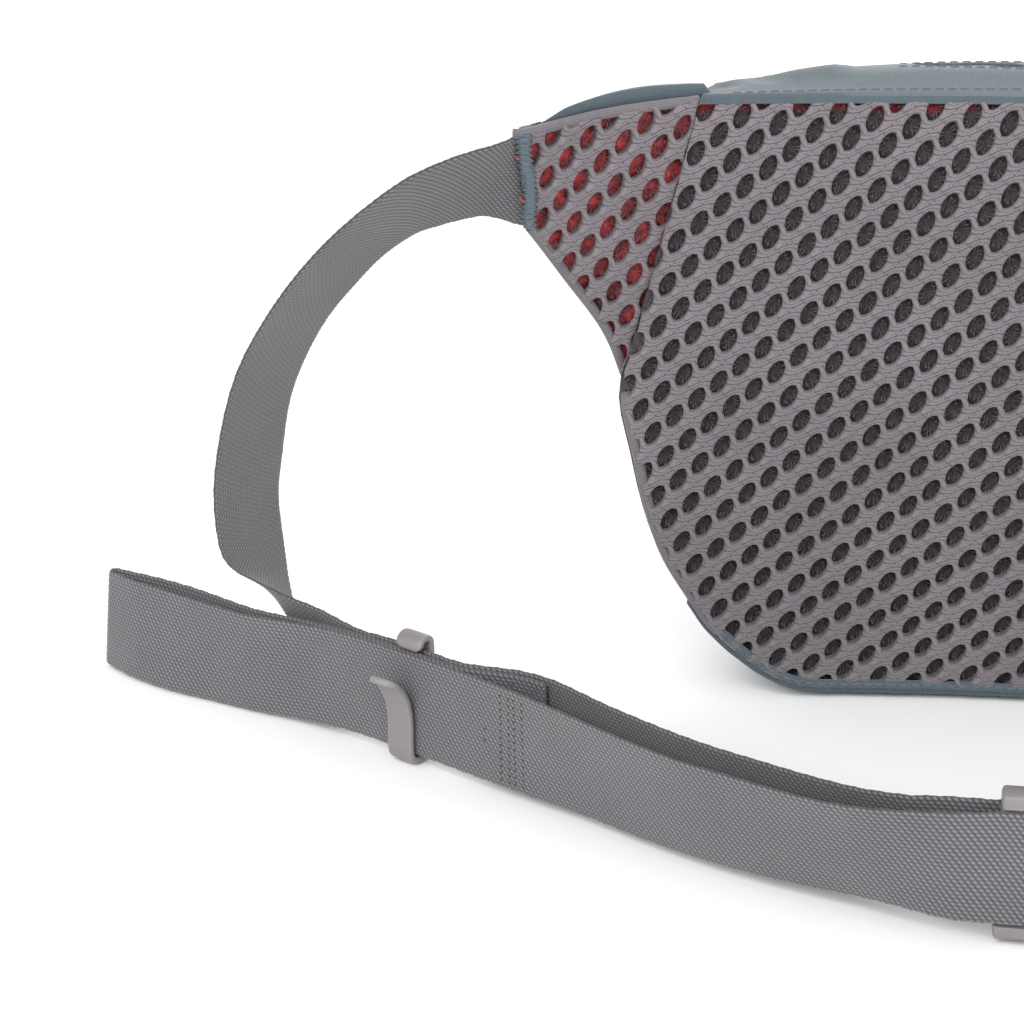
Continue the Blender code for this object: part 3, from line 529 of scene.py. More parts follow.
def stamp_object(name, points, faces, floats=None):
    """A small mesh to be repeated, in millimetres."""
    me = bpy.data.meshes.new(name)
    me.from_pydata(np.asarray(points, float).tolist(), [], [tuple(map(int, f)) for f in faces])
    for key, values in (floats or {}).items():
        me.attributes.new(key, "FLOAT", "POINT").data.foreach_set("value", np.asarray(values, np.float32))
    ob = bpy.data.objects.new(name, me)
    bpy.context.scene.collection.objects.link(ob)
    return ob


def lattice_tree():
    """Repeats one knit cell over two grids of points, the second half a pitch across and a row up."""
    tree, inp, out, ids = new_tree("knit_lattice", [
        ("Cell", "NodeSocketObject"), ("Pitch", "NodeSocketFloat"), ("Row", "NodeSocketFloat"),
        ("Columns", "NodeSocketInt"), ("Rows", "NodeSocketInt"), ("Turn", "NodeSocketFloat"),
        ("Spread", "NodeSocketFloat"), ("Material", "NodeSocketMaterial")])
    o = inp.outputs
    less = lambda socket: put(tree, "ShaderNodeMath", {"operation": "SUBTRACT"}, i0=socket, i1=1.0).outputs[0]
    times = lambda a, b: put(tree, "ShaderNodeMath", {"operation": "MULTIPLY"}, i0=a, i1=b).outputs[0]
    wide = times(less(o["Columns"]), o["Pitch"])
    tall = times(times(less(o["Rows"]), o["Row"]), 2.0)
    grid = put(tree, "GeometryNodeMeshGrid", Size_X=wide, Size_Y=tall,
               Vertices_X=o["Columns"], Vertices_Y=o["Rows"]).outputs[0]
    shift = put(tree, "ShaderNodeCombineXYZ", X=times(o["Pitch"], 0.5), Y=o["Row"]).outputs[0]
    second = put(tree, "GeometryNodeTransform", Geometry=grid, Translation=shift).outputs[0]
    both = put(tree, "GeometryNodeJoinGeometry")
    tree.links.new(grid, both.inputs[0])
    tree.links.new(second, both.inputs[0])
    cell = put(tree, "GeometryNodeObjectInfo", Object=o["Cell"])
    wobble = put(tree, "FunctionNodeRandomValue", {"data_type": "FLOAT"}, Seed=7)
    floats = [s for s in wobble.inputs if s.type == "VALUE" and s.enabled]
    low, high = floats[0], floats[1]
    tree.links.new(times(o["Spread"], -1.0), low)
    tree.links.new(o["Spread"], high)
    spin = put(tree, "ShaderNodeCombineXYZ", Z=[s for s in wobble.outputs if s.enabled][0]).outputs[0]
    copies = put(tree, "GeometryNodeInstanceOnPoints", Points=both.outputs[0],
                 Instance=cell.outputs["Geometry"], Rotation=spin)
    turn = put(tree, "ShaderNodeCombineXYZ", Z=o["Turn"]).outputs[0]
    real = put(tree, "GeometryNodeRealizeInstances", Geometry=copies.outputs[0]).outputs[0]
    turned = put(tree, "GeometryNodeTransform", Geometry=real, Rotation=turn).outputs[0]
    merged = put(tree, "GeometryNodeMergeByDistance", Geometry=turned, Distance=0.004).outputs[0]
    done = put(tree, "GeometryNodeSetMaterial", Geometry=merged, Material=o["Material"]).outputs[0]
    tree.links.new(done, out.inputs[0])
    return tree, ids


def stitch_tree():
    """Lays a stitch at even steps along each line of the mesh, turned to follow it."""
    tree, inp, out, ids = new_tree("stitch_run", [
        ("Geometry", "NodeSocketGeometry"), ("Stitch", "NodeSocketObject"), ("Step", "NodeSocketFloat"),
        ("Turn", "NodeSocketFloat"), ("Material", "NodeSocketMaterial")])
    o = inp.outputs
    line = put(tree, "GeometryNodeMeshToCurve", Mesh=o["Geometry"]).outputs[0]
    even = put(tree, "GeometryNodeResampleCurve", {"mode": "LENGTH"}, Curve=line, Length=o["Step"]).outputs[0]
    tangent = put(tree, "GeometryNodeInputTangent").outputs[0]
    face = put(tree, "FunctionNodeAlignRotationToVector", {"axis": "X"}, Vector=tangent).outputs[0]
    own = put(tree, "FunctionNodeRotateRotation", {"rotation_space": "LOCAL"}, i0=face,
              i1=put(tree, "FunctionNodeAxisAngleToRotation", Axis=(0, 0, 1), Angle=o["Turn"]).outputs[0]).outputs[0]
    item = put(tree, "GeometryNodeObjectInfo", Object=o["Stitch"]).outputs["Geometry"]
    copies = put(tree, "GeometryNodeInstanceOnPoints", Points=even, Instance=item, Rotation=own).outputs[0]
    real = put(tree, "GeometryNodeRealizeInstances", Geometry=copies).outputs[0]
    done = put(tree, "GeometryNodeSetMaterial", Geometry=real, Material=o["Material"]).outputs[0]
    tree.links.new(done, out.inputs[0])
    return tree, ids


def stitch_stamp(length, thick, sides=6):
    """One stitch: a short bowed capsule along X that dips at both ends."""
    pts, faces = [], []
    cuts = [(-0.5, 0.25), (-0.42, 0.8), (-0.2, 1.0), (0.2, 1.0), (0.42, 0.8), (0.5, 0.25)]
    for t, r in cuts:
        for k in range(sides):
            q = 2 * math.pi * k / sides
            pts.append((t * length, math.cos(q) * thick * r / 2, math.sin(q) * thick * r / 2))
    for i in range(len(cuts) - 1):
        for k in range(sides):
            j = (k + 1) % sides
            faces.append((i * sides + k, i * sides + j, (i + 1) * sides + j, (i + 1) * sides + k))
    faces += [tuple(range(sides))[::-1], tuple(range(len(pts) - sides, len(pts)))]
    return stamp_object("stitch", pts, faces)


def sew(name, lines, mat, step=None, length=2.0, thick=0.55, turn=0.0, body="cushion", slot="thread"):
    """Rows of stitches along lines of points."""
    step = step or bpy.context.scene.cushion_cloth.stitch
    pts, edges = [], []
    for line in lines:
        base = len(pts)
        pts += [tuple(p) for p in line]
        edges += [(base + i, base + i + 1) for i in range(len(line) - 1)]
    me = bpy.data.meshes.new("lines")
    me.from_pydata([tuple(float(v) for v in p) for p in pts], edges, [])
    host = bpy.data.objects.new("lines", me)
    bpy.context.scene.collection.objects.link(host)
    stamp = stitch_stamp(length, thick)
    tree, ids = stitch_tree()
    mesh = run_tree(tree, ids, {"Stitch": stamp, "Step": float(step), "Turn": float(turn), "Material": mat}, host)
    bpy.data.objects.remove(stamp)
    mesh.transform(Matrix.Scale(MM, 4))
    mesh.name = name
    mesh.shade_smooth()
    ob = bpy.data.objects.new(name, mesh)
    bpy.context.scene.collection.objects.link(ob)
    return outward(dress(ob, mat, body, slot))


# ------------------------------------------------------------------ the cushion's surfaces
def outline():
    """Half outline of the mesh panel, from the flat bottom edge up to its top corner."""
    h, w = BODY_H / 150.5, HALF_WIDE / 116.7
    side = [(60, LIFT), (72, 2.6), (82 * w, 7), (93.4 * w, 17 * h), (99.7 * w, 26 * h), (106.6 * w, 38 * h),
            (110.9 * w, 51 * h), (113.9 * w, 65 * h), (HALF_WIDE, WIDE_Z * h)]
    for k in range(1, 6):
        side.append((HALF_WIDE + (HALF_TOP - HALF_WIDE) * k / 5, WIDE_Z * h + (BODY_H - WIDE_Z * h) * k / 5))
    return catmull(side, 4)


OUT = outline()


def half_width(z):
    return np.interp(z, OUT[:, 1], OUT[:, 0], left=OUT[0, 0])


def edge_y(x):
    """Plan curve of the panel's edges: nearly flat in the middle, wrapping forward in the wings."""
    a = np.abs(np.asarray(x, float))
    d = np.maximum(a - (HALF_TOP + 1), 0)
    return np.where(d > 0, -10 - 0.2376 * d - 0.0072 * d * d, 2 - 12 * (a / (HALF_TOP + 1)) ** 2) - FORWARD


def panel_y(x, z):
    across = np.maximum(0, 1 - (np.asarray(x, float) / (HALF_WIDE + 1.5)) ** 2)
    up = np.maximum(0, 1 - ((np.asarray(z, float) - BODY_H / 2) / (BODY_H / 2 + 2)) ** 2)
    return edge_y(x) - BULGE * across * up


def wing_lines():
    """Top and bottom edge of a wing from the crease to the tip."""
    tip_x, tip_z = HALF_TOP + WING_REACH, 145.5
    low_z = tip_z - WING_TIP_H
    span = tip_x - HALF_WIDE
    top = catmull([(HALF_TOP + 0.6, BODY_H), (HALF_TOP + 0.55 * WING_REACH, BODY_H - 2.0), (tip_x, tip_z)], 8)
    low = catmull([(HALF_WIDE + 0.6, WIDE_Z), (HALF_WIDE + 0.24 * span, WIDE_Z + 13),
                   (HALF_WIDE + 0.64 * span, WIDE_Z + 0.67 * (low_z - WIDE_Z)), (tip_x - 0.4, low_z)], 8)
    return top, low


WING_TOP, WING_LOW = wing_lines()


def wing_edges(t):
    at = lambda c: np.array([np.interp(t * (len(c) - 1), range(len(c)), c[:, k]) for k in (0, 1)])
    return at(WING_TOP), at(WING_LOW)


def wing_y(x, z):
    d = np.maximum(0, np.abs(x) - HALF_TOP)
    return edge_y(x) - 0.44 * (d / WING_REACH) ** 1.5 * (np.asarray(z, float) - 0.875 * BODY_H)


PLAN_X = np.linspace(0, 150, 301)
PLAN_S = np.concatenate([[0], np.cumsum(np.hypot(np.diff(PLAN_X), np.diff(edge_y(PLAN_X))))])


def across(x):
    """Cloth length along the panel's plan curve, from the middle to x."""
    return np.sign(x) * np.interp(np.abs(x), PLAN_X, PLAN_S)


def roll_of(inside, radius):
    """How far a face falls away within radius of its edge; inside is the distance from the edge."""
    d = np.clip(radius - inside, 0, radius)
    return radius - np.sqrt(np.maximum(radius * radius - d * d, 0))


# ------------------------------------------------------------------ knit
def knit_cell(c):
    """One hole of the knit with the band round it, closed at the back, out to where the next cell starts."""
    half, row = c.pitch / 2, c.row
    z0 = (half * half + row * row) / (2 * row)
    z1 = z0 - half * half / row
    rim = [(half, -z1)]
    for a, b, n in (((half, -z1), (half, z1), 2), ((half, z1), (0, z0), 4), ((0, z0), (-half, z1), 4),
                    ((-half, z1), (-half, -z1), 2), ((-half, -z1), (0, -z0), 4), ((0, -z0), (half, -z1), 4)):
        rim += [(a[0] + (b[0] - a[0]) * k / n, a[1] + (b[1] - a[1]) * k / n) for k in range(1, n + 1)]
    rim = np.array(rim[:-1])
    power, ca, sa = 1.8, math.cos(c.lean), math.sin(c.lean)

    def norm(p):
        wide, tall = p[..., 0] * ca - p[..., 1] * sa, p[..., 0] * sa + p[..., 1] * ca
        return (np.abs(wide / (c.hole_w / 2)) ** power + np.abs(tall / (c.hole_h / 2)) ** power) ** (1 / power)
    hole = rim / norm(rim)[:, None]
    out_by = lambda mm: hole + hole / np.linalg.norm(hole, axis=1)[:, None] * mm
    rings = [(rim, 0.0), (hole + (rim - hole) * 0.5, 0.05), (out_by(0.16), 0.22), (out_by(-0.05), 0.62),
             (out_by(-0.12), 1.2), (out_by(0.05), c.knit_t), (rim, c.knit_t)]
    points, course, depth = [], [], []
    for ring, down in rings:
        for p in ring:
            spots = [(s * half, 0.0) for s in (1, -1)] + [(0.0, s * row) for s in (1, -1)]
            near = min(spots, key=lambda q: abs(p[0] - q[0]) / half + abs(p[1] - q[1]) / row)
            up = max(0.0, float(norm(p - np.array([near[0], near[1] + row]))) - 1)
            low = max(0.0, float(norm(p - np.array([near[0], near[1] - row]))) - 1)
            course.append(abs(low - up) / max(low + up, 1e-6))
            points.append((p[0], p[1], -down))
            depth.append(down)
    n = len(rim)
    faces = []
    for i in range(len(rings) - 1):
        for k in range(n):
            j = (k + 1) % n
            faces.append((i * n + k, i * n + j, (i + 1) * n + j, (i + 1) * n + k))
    return stamp_object("knit_cell", points, faces, {"course": course, "depth": depth})


def yarn_tuft(c, strands=15, seed=3):
    """Filaments that cross a hole from its rim down to the backing."""
    rng = np.random.default_rng(seed)
    pts, faces = [], []
    for _ in range(strands):
        q = rng.uniform(0, 2 * math.pi)
        a = np.array([math.cos(q) * c.hole_w * 0.46, math.sin(q) * c.hole_h * 0.46, -rng.uniform(0.8, 1.5)])
        q2 = q + rng.uniform(-0.9, 0.9)
        reach = rng.uniform(0.05, 0.36)
        b = np.array([math.cos(q2) * c.hole_w * reach, math.sin(q2) * c.hole_h * reach, -c.knit_t - 0.25])
        m = (a + b) / 2 + rng.uniform(-0.35, 0.35, 3) + np.array([0, 0, 0.35])
        d = unit(b - a)
        u = unit(np.cross(d, [0.3, 0.5, 1.0]))
        v = np.cross(d, u)
        base = len(pts)
        for centre in (a, m, b):
            pts += [tuple(centre + 0.085 * (math.cos(w) * u + math.sin(w) * v)) for w in (0, 2.094, 4.189)]
        for i in (0, 3):
            at = base + i
            faces += [(at + k, at + (k + 1) % 3, at + 3 + (k + 1) % 3, at + 3 + k) for k in range(3)]
    return stamp_object("yarn_tuft", pts, faces)


def lattice(stamp, c, mat, spread=0.0, merge_floats=("course", "depth"), columns=40, rows=22):
    """Points, faces and values of a stamp repeated over the turned lattice, centred on the panel."""
    tree, ids = lattice_tree()
    mesh = run_tree(tree, ids, {"Cell": stamp, "Pitch": c.pitch, "Row": c.row, "Columns": columns, "Rows": rows,
                                "Turn": c.turn, "Spread": spread, "Material": mat})
    bpy.data.objects.remove(stamp)
    pts = np.zeros(len(mesh.vertices) * 3)
    mesh.vertices.foreach_get("co", pts)
    sizes = np.zeros(len(mesh.polygons), np.int32)
    mesh.polygons.foreach_get("loop_total", sizes)
    loops = np.zeros(len(mesh.loops), np.int32)
    mesh.loops.foreach_get("vertex_index", loops)
    faces = loops[np.repeat(sizes == 4, sizes)].reshape(-1, 4)
    floats = {}
    for key in merge_floats:
        values = np.zeros(len(mesh.vertices), np.float32)
        mesh.attributes[key].data.foreach_get("value", values)
        floats[key] = values
    bpy.data.meshes.remove(mesh)
    return pts.reshape(-1, 3), faces, floats


def trim(pts, faces, floats, field):
    """Keeps what lies where field is negative; a face across the line has its outer corners drawn in to it."""
    f = field(pts[:, 0], pts[:, 1])
    out = f > 0
    count = out[faces].sum(1)
    cross = (count > 0) & (count < 4)
    rim = np.unique(faces[cross][out[faces[cross]]])
    moved = pts.copy()
    total, weight = np.zeros((len(pts), 2)), np.zeros(len(pts))
    for i in range(4):
        for j in ((i + 1) % 4, (i - 1) % 4):
            a, b = faces[cross][:, i], faces[cross][:, j]
            ok = out[a] & ~out[b]
            a, b = a[ok], b[ok]
            t = (f[a] / (f[a] - f[b]))[:, None]
            np.add.at(total, a, pts[a, :2] + (pts[b, :2] - pts[a, :2]) * t)
            np.add.at(weight, a, 1)
    hit = weight > 0
    moved[hit, :2] = total[hit] / weight[hit][:, None]
    lost = [i for i in rim if weight[i] == 0]
    keep = (count == 0) | (cross & ~np.isin(faces, lost).any(1))
    faces = faces[keep]
    used, inverse = np.unique(faces, return_inverse=True)
    return moved[used], inverse.reshape(-1, 4), {k: v[used] for k, v in floats.items()}


def lay_knit(name, field, surface, mat, slot, what, spread=0.0, c=None, side=0):
    """Puts knit cells or yarn tufts on a surface inside an outline and closes the cut edge."""
    c = c or bpy.context.scene.cushion_cloth
    stamp = knit_cell(c) if what == "knit" else yarn_tuft(c)
    keys = ("course", "depth") if what == "knit" else ()
    pts, faces, floats = lattice(stamp, c, mat, spread, keys)
    s = pts[:, 0]
    x = np.sign(s) * np.interp(np.abs(s), PLAN_S, PLAN_X)
    pts = np.stack([x, pts[:, 1] + BODY_H / 2, pts[:, 2]], -1)
    near = np.abs(s) < PLAN_S[-1] - 1
    if side:
        near &= pts[:, 0] * side > HALF_TOP - 12
    keep = near[faces].all(1)
    used, inverse = np.unique(faces[keep], return_inverse=True)
    pts, faces, floats = pts[used], inverse.reshape(-1, 4), {k: v[used] for k, v in floats.items()}
    if what == "knit":
        pts, faces, floats = trim(pts, faces, floats, field)
    else:
        ok = (field(pts[:, 0], pts[:, 1]) < -0.6)[faces].all(1)
        used, inverse = np.unique(faces[ok], return_inverse=True)
        pts, faces = pts[used], inverse.reshape(-1, 4)
    uv = np.stack([across(pts[:, 0]), pts[:, 1]], -1)
    place = surface(pts[:, 0], pts[:, 1], -pts[:, 2])
    ob = make_piece(name, place, faces, mat, "cushion", slot, uv, floats)
    bm = bmesh.new()
    bm.from_mesh(ob.data)
    if what == "knit":
        bmesh.ops.holes_fill(bm, edges=[e for e in bm.edges if len(e.link_faces) == 1], sides=0)
        bmesh.ops.recalc_face_normals(bm, faces=bm.faces)
    bm.to_mesh(ob.data)
    bm.free()
    ob.data.shade_smooth()
    return ob


def surface_of(front, fall):
    """A function that places cloth at a depth behind a front face that falls away at its edges."""
    def at(x, z, depth):
        e = 0.5
        y = front(x, z)
        gx = (front(x + e, z) - front(x - e, z)) / (2 * e)
        gz = (front(x, z + e) - front(x, z - e)) / (2 * e)
        n = np.stack([-gx, np.ones_like(gx), -gz], -1)
        n /= np.linalg.norm(n, axis=1)[:, None]
        deep = depth + fall(x, z)
        return np.stack([x, y, z], -1) + n * deep[:, None]
    return at


def panel_field(x, z):
    """Distance outside the panel's outline, negative inside it."""
    side = (np.abs(x) - half_width(z)) * 0.93 + 0.5 * (1 - smooth(z, WIDE_Z - 4, WIDE_Z + 4))
    return np.maximum(np.maximum(side, LIFT - z), z - BODY_H)


def panel_fall(x, z):
    """How far the panel's face falls away at its edges: a full roll, but a shallow one beside a wing."""
    roll = bpy.context.scene.cushion_cloth.roll
    side = roll_of((half_width(z) - np.abs(x)) * 0.93, roll) * (1 - 0.66 * smooth(z, WIDE_Z - 12, WIDE_Z + 4))
    return np.maximum(side, roll_of(np.minimum(z - LIFT, BODY_H - z), roll))


def wing_crease(x, z):
    return (HALF_TOP + 0.12 + (BODY_H - z) * (HALF_WIDE - HALF_TOP) / (BODY_H - WIDE_Z) - np.abs(x)) * 0.97


def wing_free(x, z):
    """Distance outside the wing's free edges, negative inside them."""
    a = np.abs(x)
    top = z - np.interp(a, WING_TOP[:, 0], WING_TOP[:, 1])
    low = (np.interp(a, WING_LOW[:, 0], WING_LOW[:, 1], left=WIDE_Z - 20) - z) * 0.5
    return np.maximum(top, np.maximum(low, a - (HALF_TOP + WING_REACH)))


def wing_field(x, z):
    """Distance outside the wing's outline, negative inside it."""
    return np.maximum(wing_crease(x, z), wing_free(x, z) + 0.5)


def wing_fall(x, z):
    roll = bpy.context.scene.cushion_cloth.roll
    return np.maximum(roll_of(-wing_crease(x, z), roll) * 0.34, roll_of(-wing_free(x, z), roll * 0.85))


def build_face():
    """Knit face, its dark backing pad and the filaments in the holes."""
    c = bpy.context.scene.cushion_cloth
    surface = surface_of(panel_y, panel_fall)
    face = lay_knit("panel_knit", panel_field, surface, FIN["knit"], "spacer_mesh", "knit")
    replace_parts(face, "mesh_panel")
    yarn = lay_knit("panel_spacer_yarn", panel_field, surface, FIN["yarn"], "foam_dark", "yarn", spread=math.pi)
    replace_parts(yarn, "back_liner")
    nu = 60
    zs = np.concatenate([np.linspace(LIFT, 8, 5)[:-1], np.linspace(8, BODY_H - 6, 30)[:-1],
                         np.linspace(BODY_H - 6, BODY_H, 6)])
    us = np.sin(np.pi / 2 * np.linspace(-1, 1, nu + 1))
    x = us[:, None] * half_width(zs)[None, :]
    z = np.broadcast_to(zs[None, :], x.shape)
    front = surface(x.ravel(), z.ravel(), np.full(x.size, c.knit_t + 0.05)).reshape(*x.shape, 3)
    back = np.stack([x, np.maximum(edge_y(x) + 8.0, front[..., 1] + 0.5), z], -1)
    uv = np.stack([across(x), z], -1)
    pad = slab("panel_pad", front, back, FIN["pad"], slot="foam_dark", uv=uv)
    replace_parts(pad, "lumbar_pad")


def rim_tube(name, line, inward, depth, radius, surface):
    """A rolled rim along an edge: line holds X and Z, inward the direction into the cloth."""
    where = line + inward * radius
    pts = surface(where[:, 0], where[:, 1], np.full(len(where), depth))
    return pipe(name, pts, radius, FIN["rim"], (0, 1, 0), 14, 1.15, slot="spacer_mesh")


def edge_line(curve, step, side, into=1):
    """Even points along an edge given in X and Z, with the direction into the cloth at each."""
    line = evenly(np.column_stack([curve, np.zeros(len(curve))]), step)[:, :2]
    t = np.gradient(line, axis=0)
    t /= np.linalg.norm(t, axis=1)[:, None]
    flip = np.array([side, 1])
    return line * flip, np.stack([-t[:, 1], t[:, 0]], -1) * into * flip


def side_line(low_z, high_z, side, step=2.0):
    """Points up one side of the panel's outline, with the direction into the panel at each."""
    return edge_line(OUT[(OUT[:, 1] >= low_z) & (OUT[:, 1] <= high_z)], step, side)


def build_rims():
    """Rolled knit rims where the face turns in, and the gussets between face and padded shell."""
    for side, tag in ((-1, "left"), (1, "right")):
        line, inward = side_line(16.0, WIDE_Z + 1.0, side)
        rim_tube("panel_rim_" + tag, line, inward, 1.8, 1.3, surface_of(panel_y, panel_fall))
        for edge, curve, into in (("low", WING_LOW, 1), ("top", WING_TOP, -1)):
            curve, inner = edge_line(curve, 1.6, side, into)
            rim_tube("wing_%s_rim_%s" % (edge, tag), curve, inner, 1.45, 1.2, surface_of(wing_y, wing_fall))
        line, inward = side_line(LIFT, BODY_H, side, 3.0)
        section = [(0.4, 3.0), (-0.5, 3.8), (-0.9, 6.0), (-0.9, 8.5), (-0.4, 10.6), (0.9, 13.0), (2.6, 13.6),
                   (2.6, 8.0), (2.2, 3.2)]
        rings, uvs = [], []
        at = along(line)
        for i, ((x, z), d) in enumerate(zip(line, inward)):
            pucker = 0.22 * math.sin(at[i] / 2.9) + 0.15 * math.sin(at[i] / 7.3 + 2)
            tuck = 3.2 * float(smooth(z, WIDE_Z - 7, WIDE_Z + 2))
            rings.append([(x + d[0] * (inn + tuck - (pucker if inn < 0 else 0)), float(edge_y(x)) + back + 0.6 * tuck,
                           max(z + d[1] * inn, 0.25)) for inn, back in section])
            uvs.append([(at[i], 1.6 * k) for k in range(len(section))])
        ob = tube("side_gusset_" + tag, rings, FIN["shell"], slot="shell_fabric", uv=uvs)
        sub = ob.modifiers.new("soften", "SUBSURF")
        sub.levels = sub.render_levels = 1
        seam = [(x + d[0] * -1.05, float(edge_y(x)) + 6.8, max(z - d[1] * 1.05, 0.5))
                for (x, z), d in zip(line, inward) if 12 < z < WIDE_Z - 8]
        sew("gusset_stitch_" + tag, [seam], FIN["thread"], length=1.9, thick=0.5)


def build_wings():
    """Knit, red liner, filling and outer fabric of each wing."""
    c = bpy.context.scene.cushion_cloth
    surface = surface_of(wing_y, wing_fall)
    for side, tag in ((-1, "left"), (1, "right")):
        field = lambda x, z: np.where(x * side > 0, wing_field(x, z), 20.0)
        knit = lay_knit("wing_knit_" + tag, field, surface, FIN["knit"], "spacer_mesh", "knit", side=side)
        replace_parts(knit, "wing_mesh_" + tag)
        lay_knit("wing_spacer_yarn_" + tag, field, surface, FIN["yarn"], "foam_dark", "yarn", spread=math.pi, side=side)
        n, m = 22, 16
        front = np.zeros((n, m, 3))
        uv = np.zeros((n, m, 2))
        for i in range(n):
            top, low = wing_edges(0.01 + 0.92 * i / (n - 1))
            inset = 1.5 * unit(top - low)
            for k in range(m):
                p = low + inset + (top - low - 2 * inset) * k / (m - 1)
                x = side * (p[0] - (2.8 if i == 0 else 0.0))
                depth = c.knit_t + 0.05 - 0.9 * (i / (n - 1)) ** 2
                front[i, k] = surface(np.array([x]), np.array([p[1]]), np.array([depth]))[0]
                uv[i, k] = (across(x), p[1])
        back = front + np.array([0, 0.4, 0])
        liner = slab("wing_liner_" + tag + "_cloth", front, back, FIN["liner"], slot="red_fabric", uv=uv)
        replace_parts(liner, "wing_liner_" + tag)
        rings, uvs = [], []
        for i in range(-2, 25):
            t = max(i, 0) / 24
            tuck = 3.5 * max(-i, 0)
            top, low = wing_edges(t)
            mid, half = (top + low) / 2, (top - low) / 2
            thick = 10.4 + (6.6 - 10.4) * smooth(t, 0.3, 0.75)
            puff = 1.6 * math.sin(math.pi * min(1.0, t * 0.9 + 0.05))
            ring, ruv = [], []
            for k in range(36):
                q = 2 * math.pi * k / 36
                cz, cy = math.cos(q), math.sin(q)
                sz = np.sign(cz) * abs(cz) ** 0.55
                sy = np.sign(cy) * abs(cy) ** 0.75
                if i < 0:
                    over = -1.5
                elif sz > 0:
                    fade = 1 - float(smooth(t, 0.72, 0.96))
                    over = (1.0 + 2.2 * math.sin(math.pi * (0.15 + 0.85 * t))) * fade + 0.3
                else:
                    over = 0.5
                p = mid + half * (1 + over / np.linalg.norm(half)) * sz
                x = side * (p[0] - tuck)
                y = float(wing_y(p[0], p[1])) + 4.0 + (thick + (puff if cy > 0 else 0) - 4.0) * (0.5 + 0.5 * sy)
                y -= 2.2 * max(0.0, sz - 0.80) / 0.20 * (cy <= 0.3) * (1 - 0.5 * t)
                y -= 1.5 * max(0.0, -sz - 0.80) / 0.20 * (cy <= 0.3)
                ring.append((x, y + 0.5 * tuck, p[1]))
                ruv.append((across(x), p[1] + (60 if cy > 0 else 0)))
            rings.append(ring)
            uvs.append(ruv)
        shell = tube("wing_outer_" + tag, rings, FIN["shell"], slot="shell_fabric", uv=uvs, sharp=50)
        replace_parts(shell, "wing_shell_" + tag, "wing_foam_" + tag)


# ------------------------------------------------------------------ padded shell
def shell_profile(u, n=10):
    """Section of the padded shell: from the bottom front edge round the rear and over the top; Y and Z."""
    depth = BODY_DEPTH * (1 - min(1.0, abs(u)) ** 2.0) ** 0.6 + 4.5
    crown = CROWN * (1 - u ** 4)
    rb = min(16.0, 0.42 * depth)
    top = BODY_H + crown
    b = min(55.0, 0.36 * BODY_H)
    ya = min(5.0, 0.35 * depth)
    a = depth - ya
    path = [(-5.4, 0.9), (0.0, 0.0), (max(depth - rb, 0.2), 0.0)]
    path += [(depth - rb + rb * math.sin(q), rb - rb * math.cos(q)) for q in np.linspace(0, math.pi / 2, n)[1:]]
    zc = top - b
    path += [(depth, rb + (zc - rb) * k / 4) for k in range(1, 5)]
    path += [(ya + a * math.cos(q), zc + b * math.sin(q)) for q in np.linspace(0, math.pi / 2, 2 * n)[1:]]
    path += [(max(1.2, ya * 0.3), top - 0.35 * crown / max(CROWN, 0.1)), (-2.0, top - 1.6 * crown / max(CROWN, 0.1)),
             (-6.4, top - 3.2 * crown / max(CROWN, 0.1)), (-9.4, BODY_H + 0.55), (-10.25, BODY_H + 0.05),
             (-10.6, BODY_H - 0.9),
             (-10.5, BODY_H - 1.7)]
    return np.array(path)


SEAM_AT = 0.72       # share of the section at which the rear panel meets the top panel
SHELL_SHEET_T = 1.3  # thickness of the padded fabric's cloth
STATIONS, SAMPLES = 97, 150


def shell_point(u, y, z):
    x = u * half_width(np.clip(z, 0.0, BODY_H))
    return np.stack([x, edge_y(x) + 10.3 + y, z], -1)


def ripple(a, b, seed):
    """A quiet, repeatable wrinkle pattern over two lengths in millimetres."""
    rng = np.random.default_rng(seed)
    total = np.zeros(np.broadcast(a, b).shape)
    for _ in range(9):
        w, q, f = rng.uniform(14, 46), rng.uniform(-0.9, 0.9), rng.uniform(0, 6.28)
        total += np.sin((a * math.cos(q) + b * math.sin(q)) / w * 2 * math.pi + f)
    return total / 9


BILLOW = {}


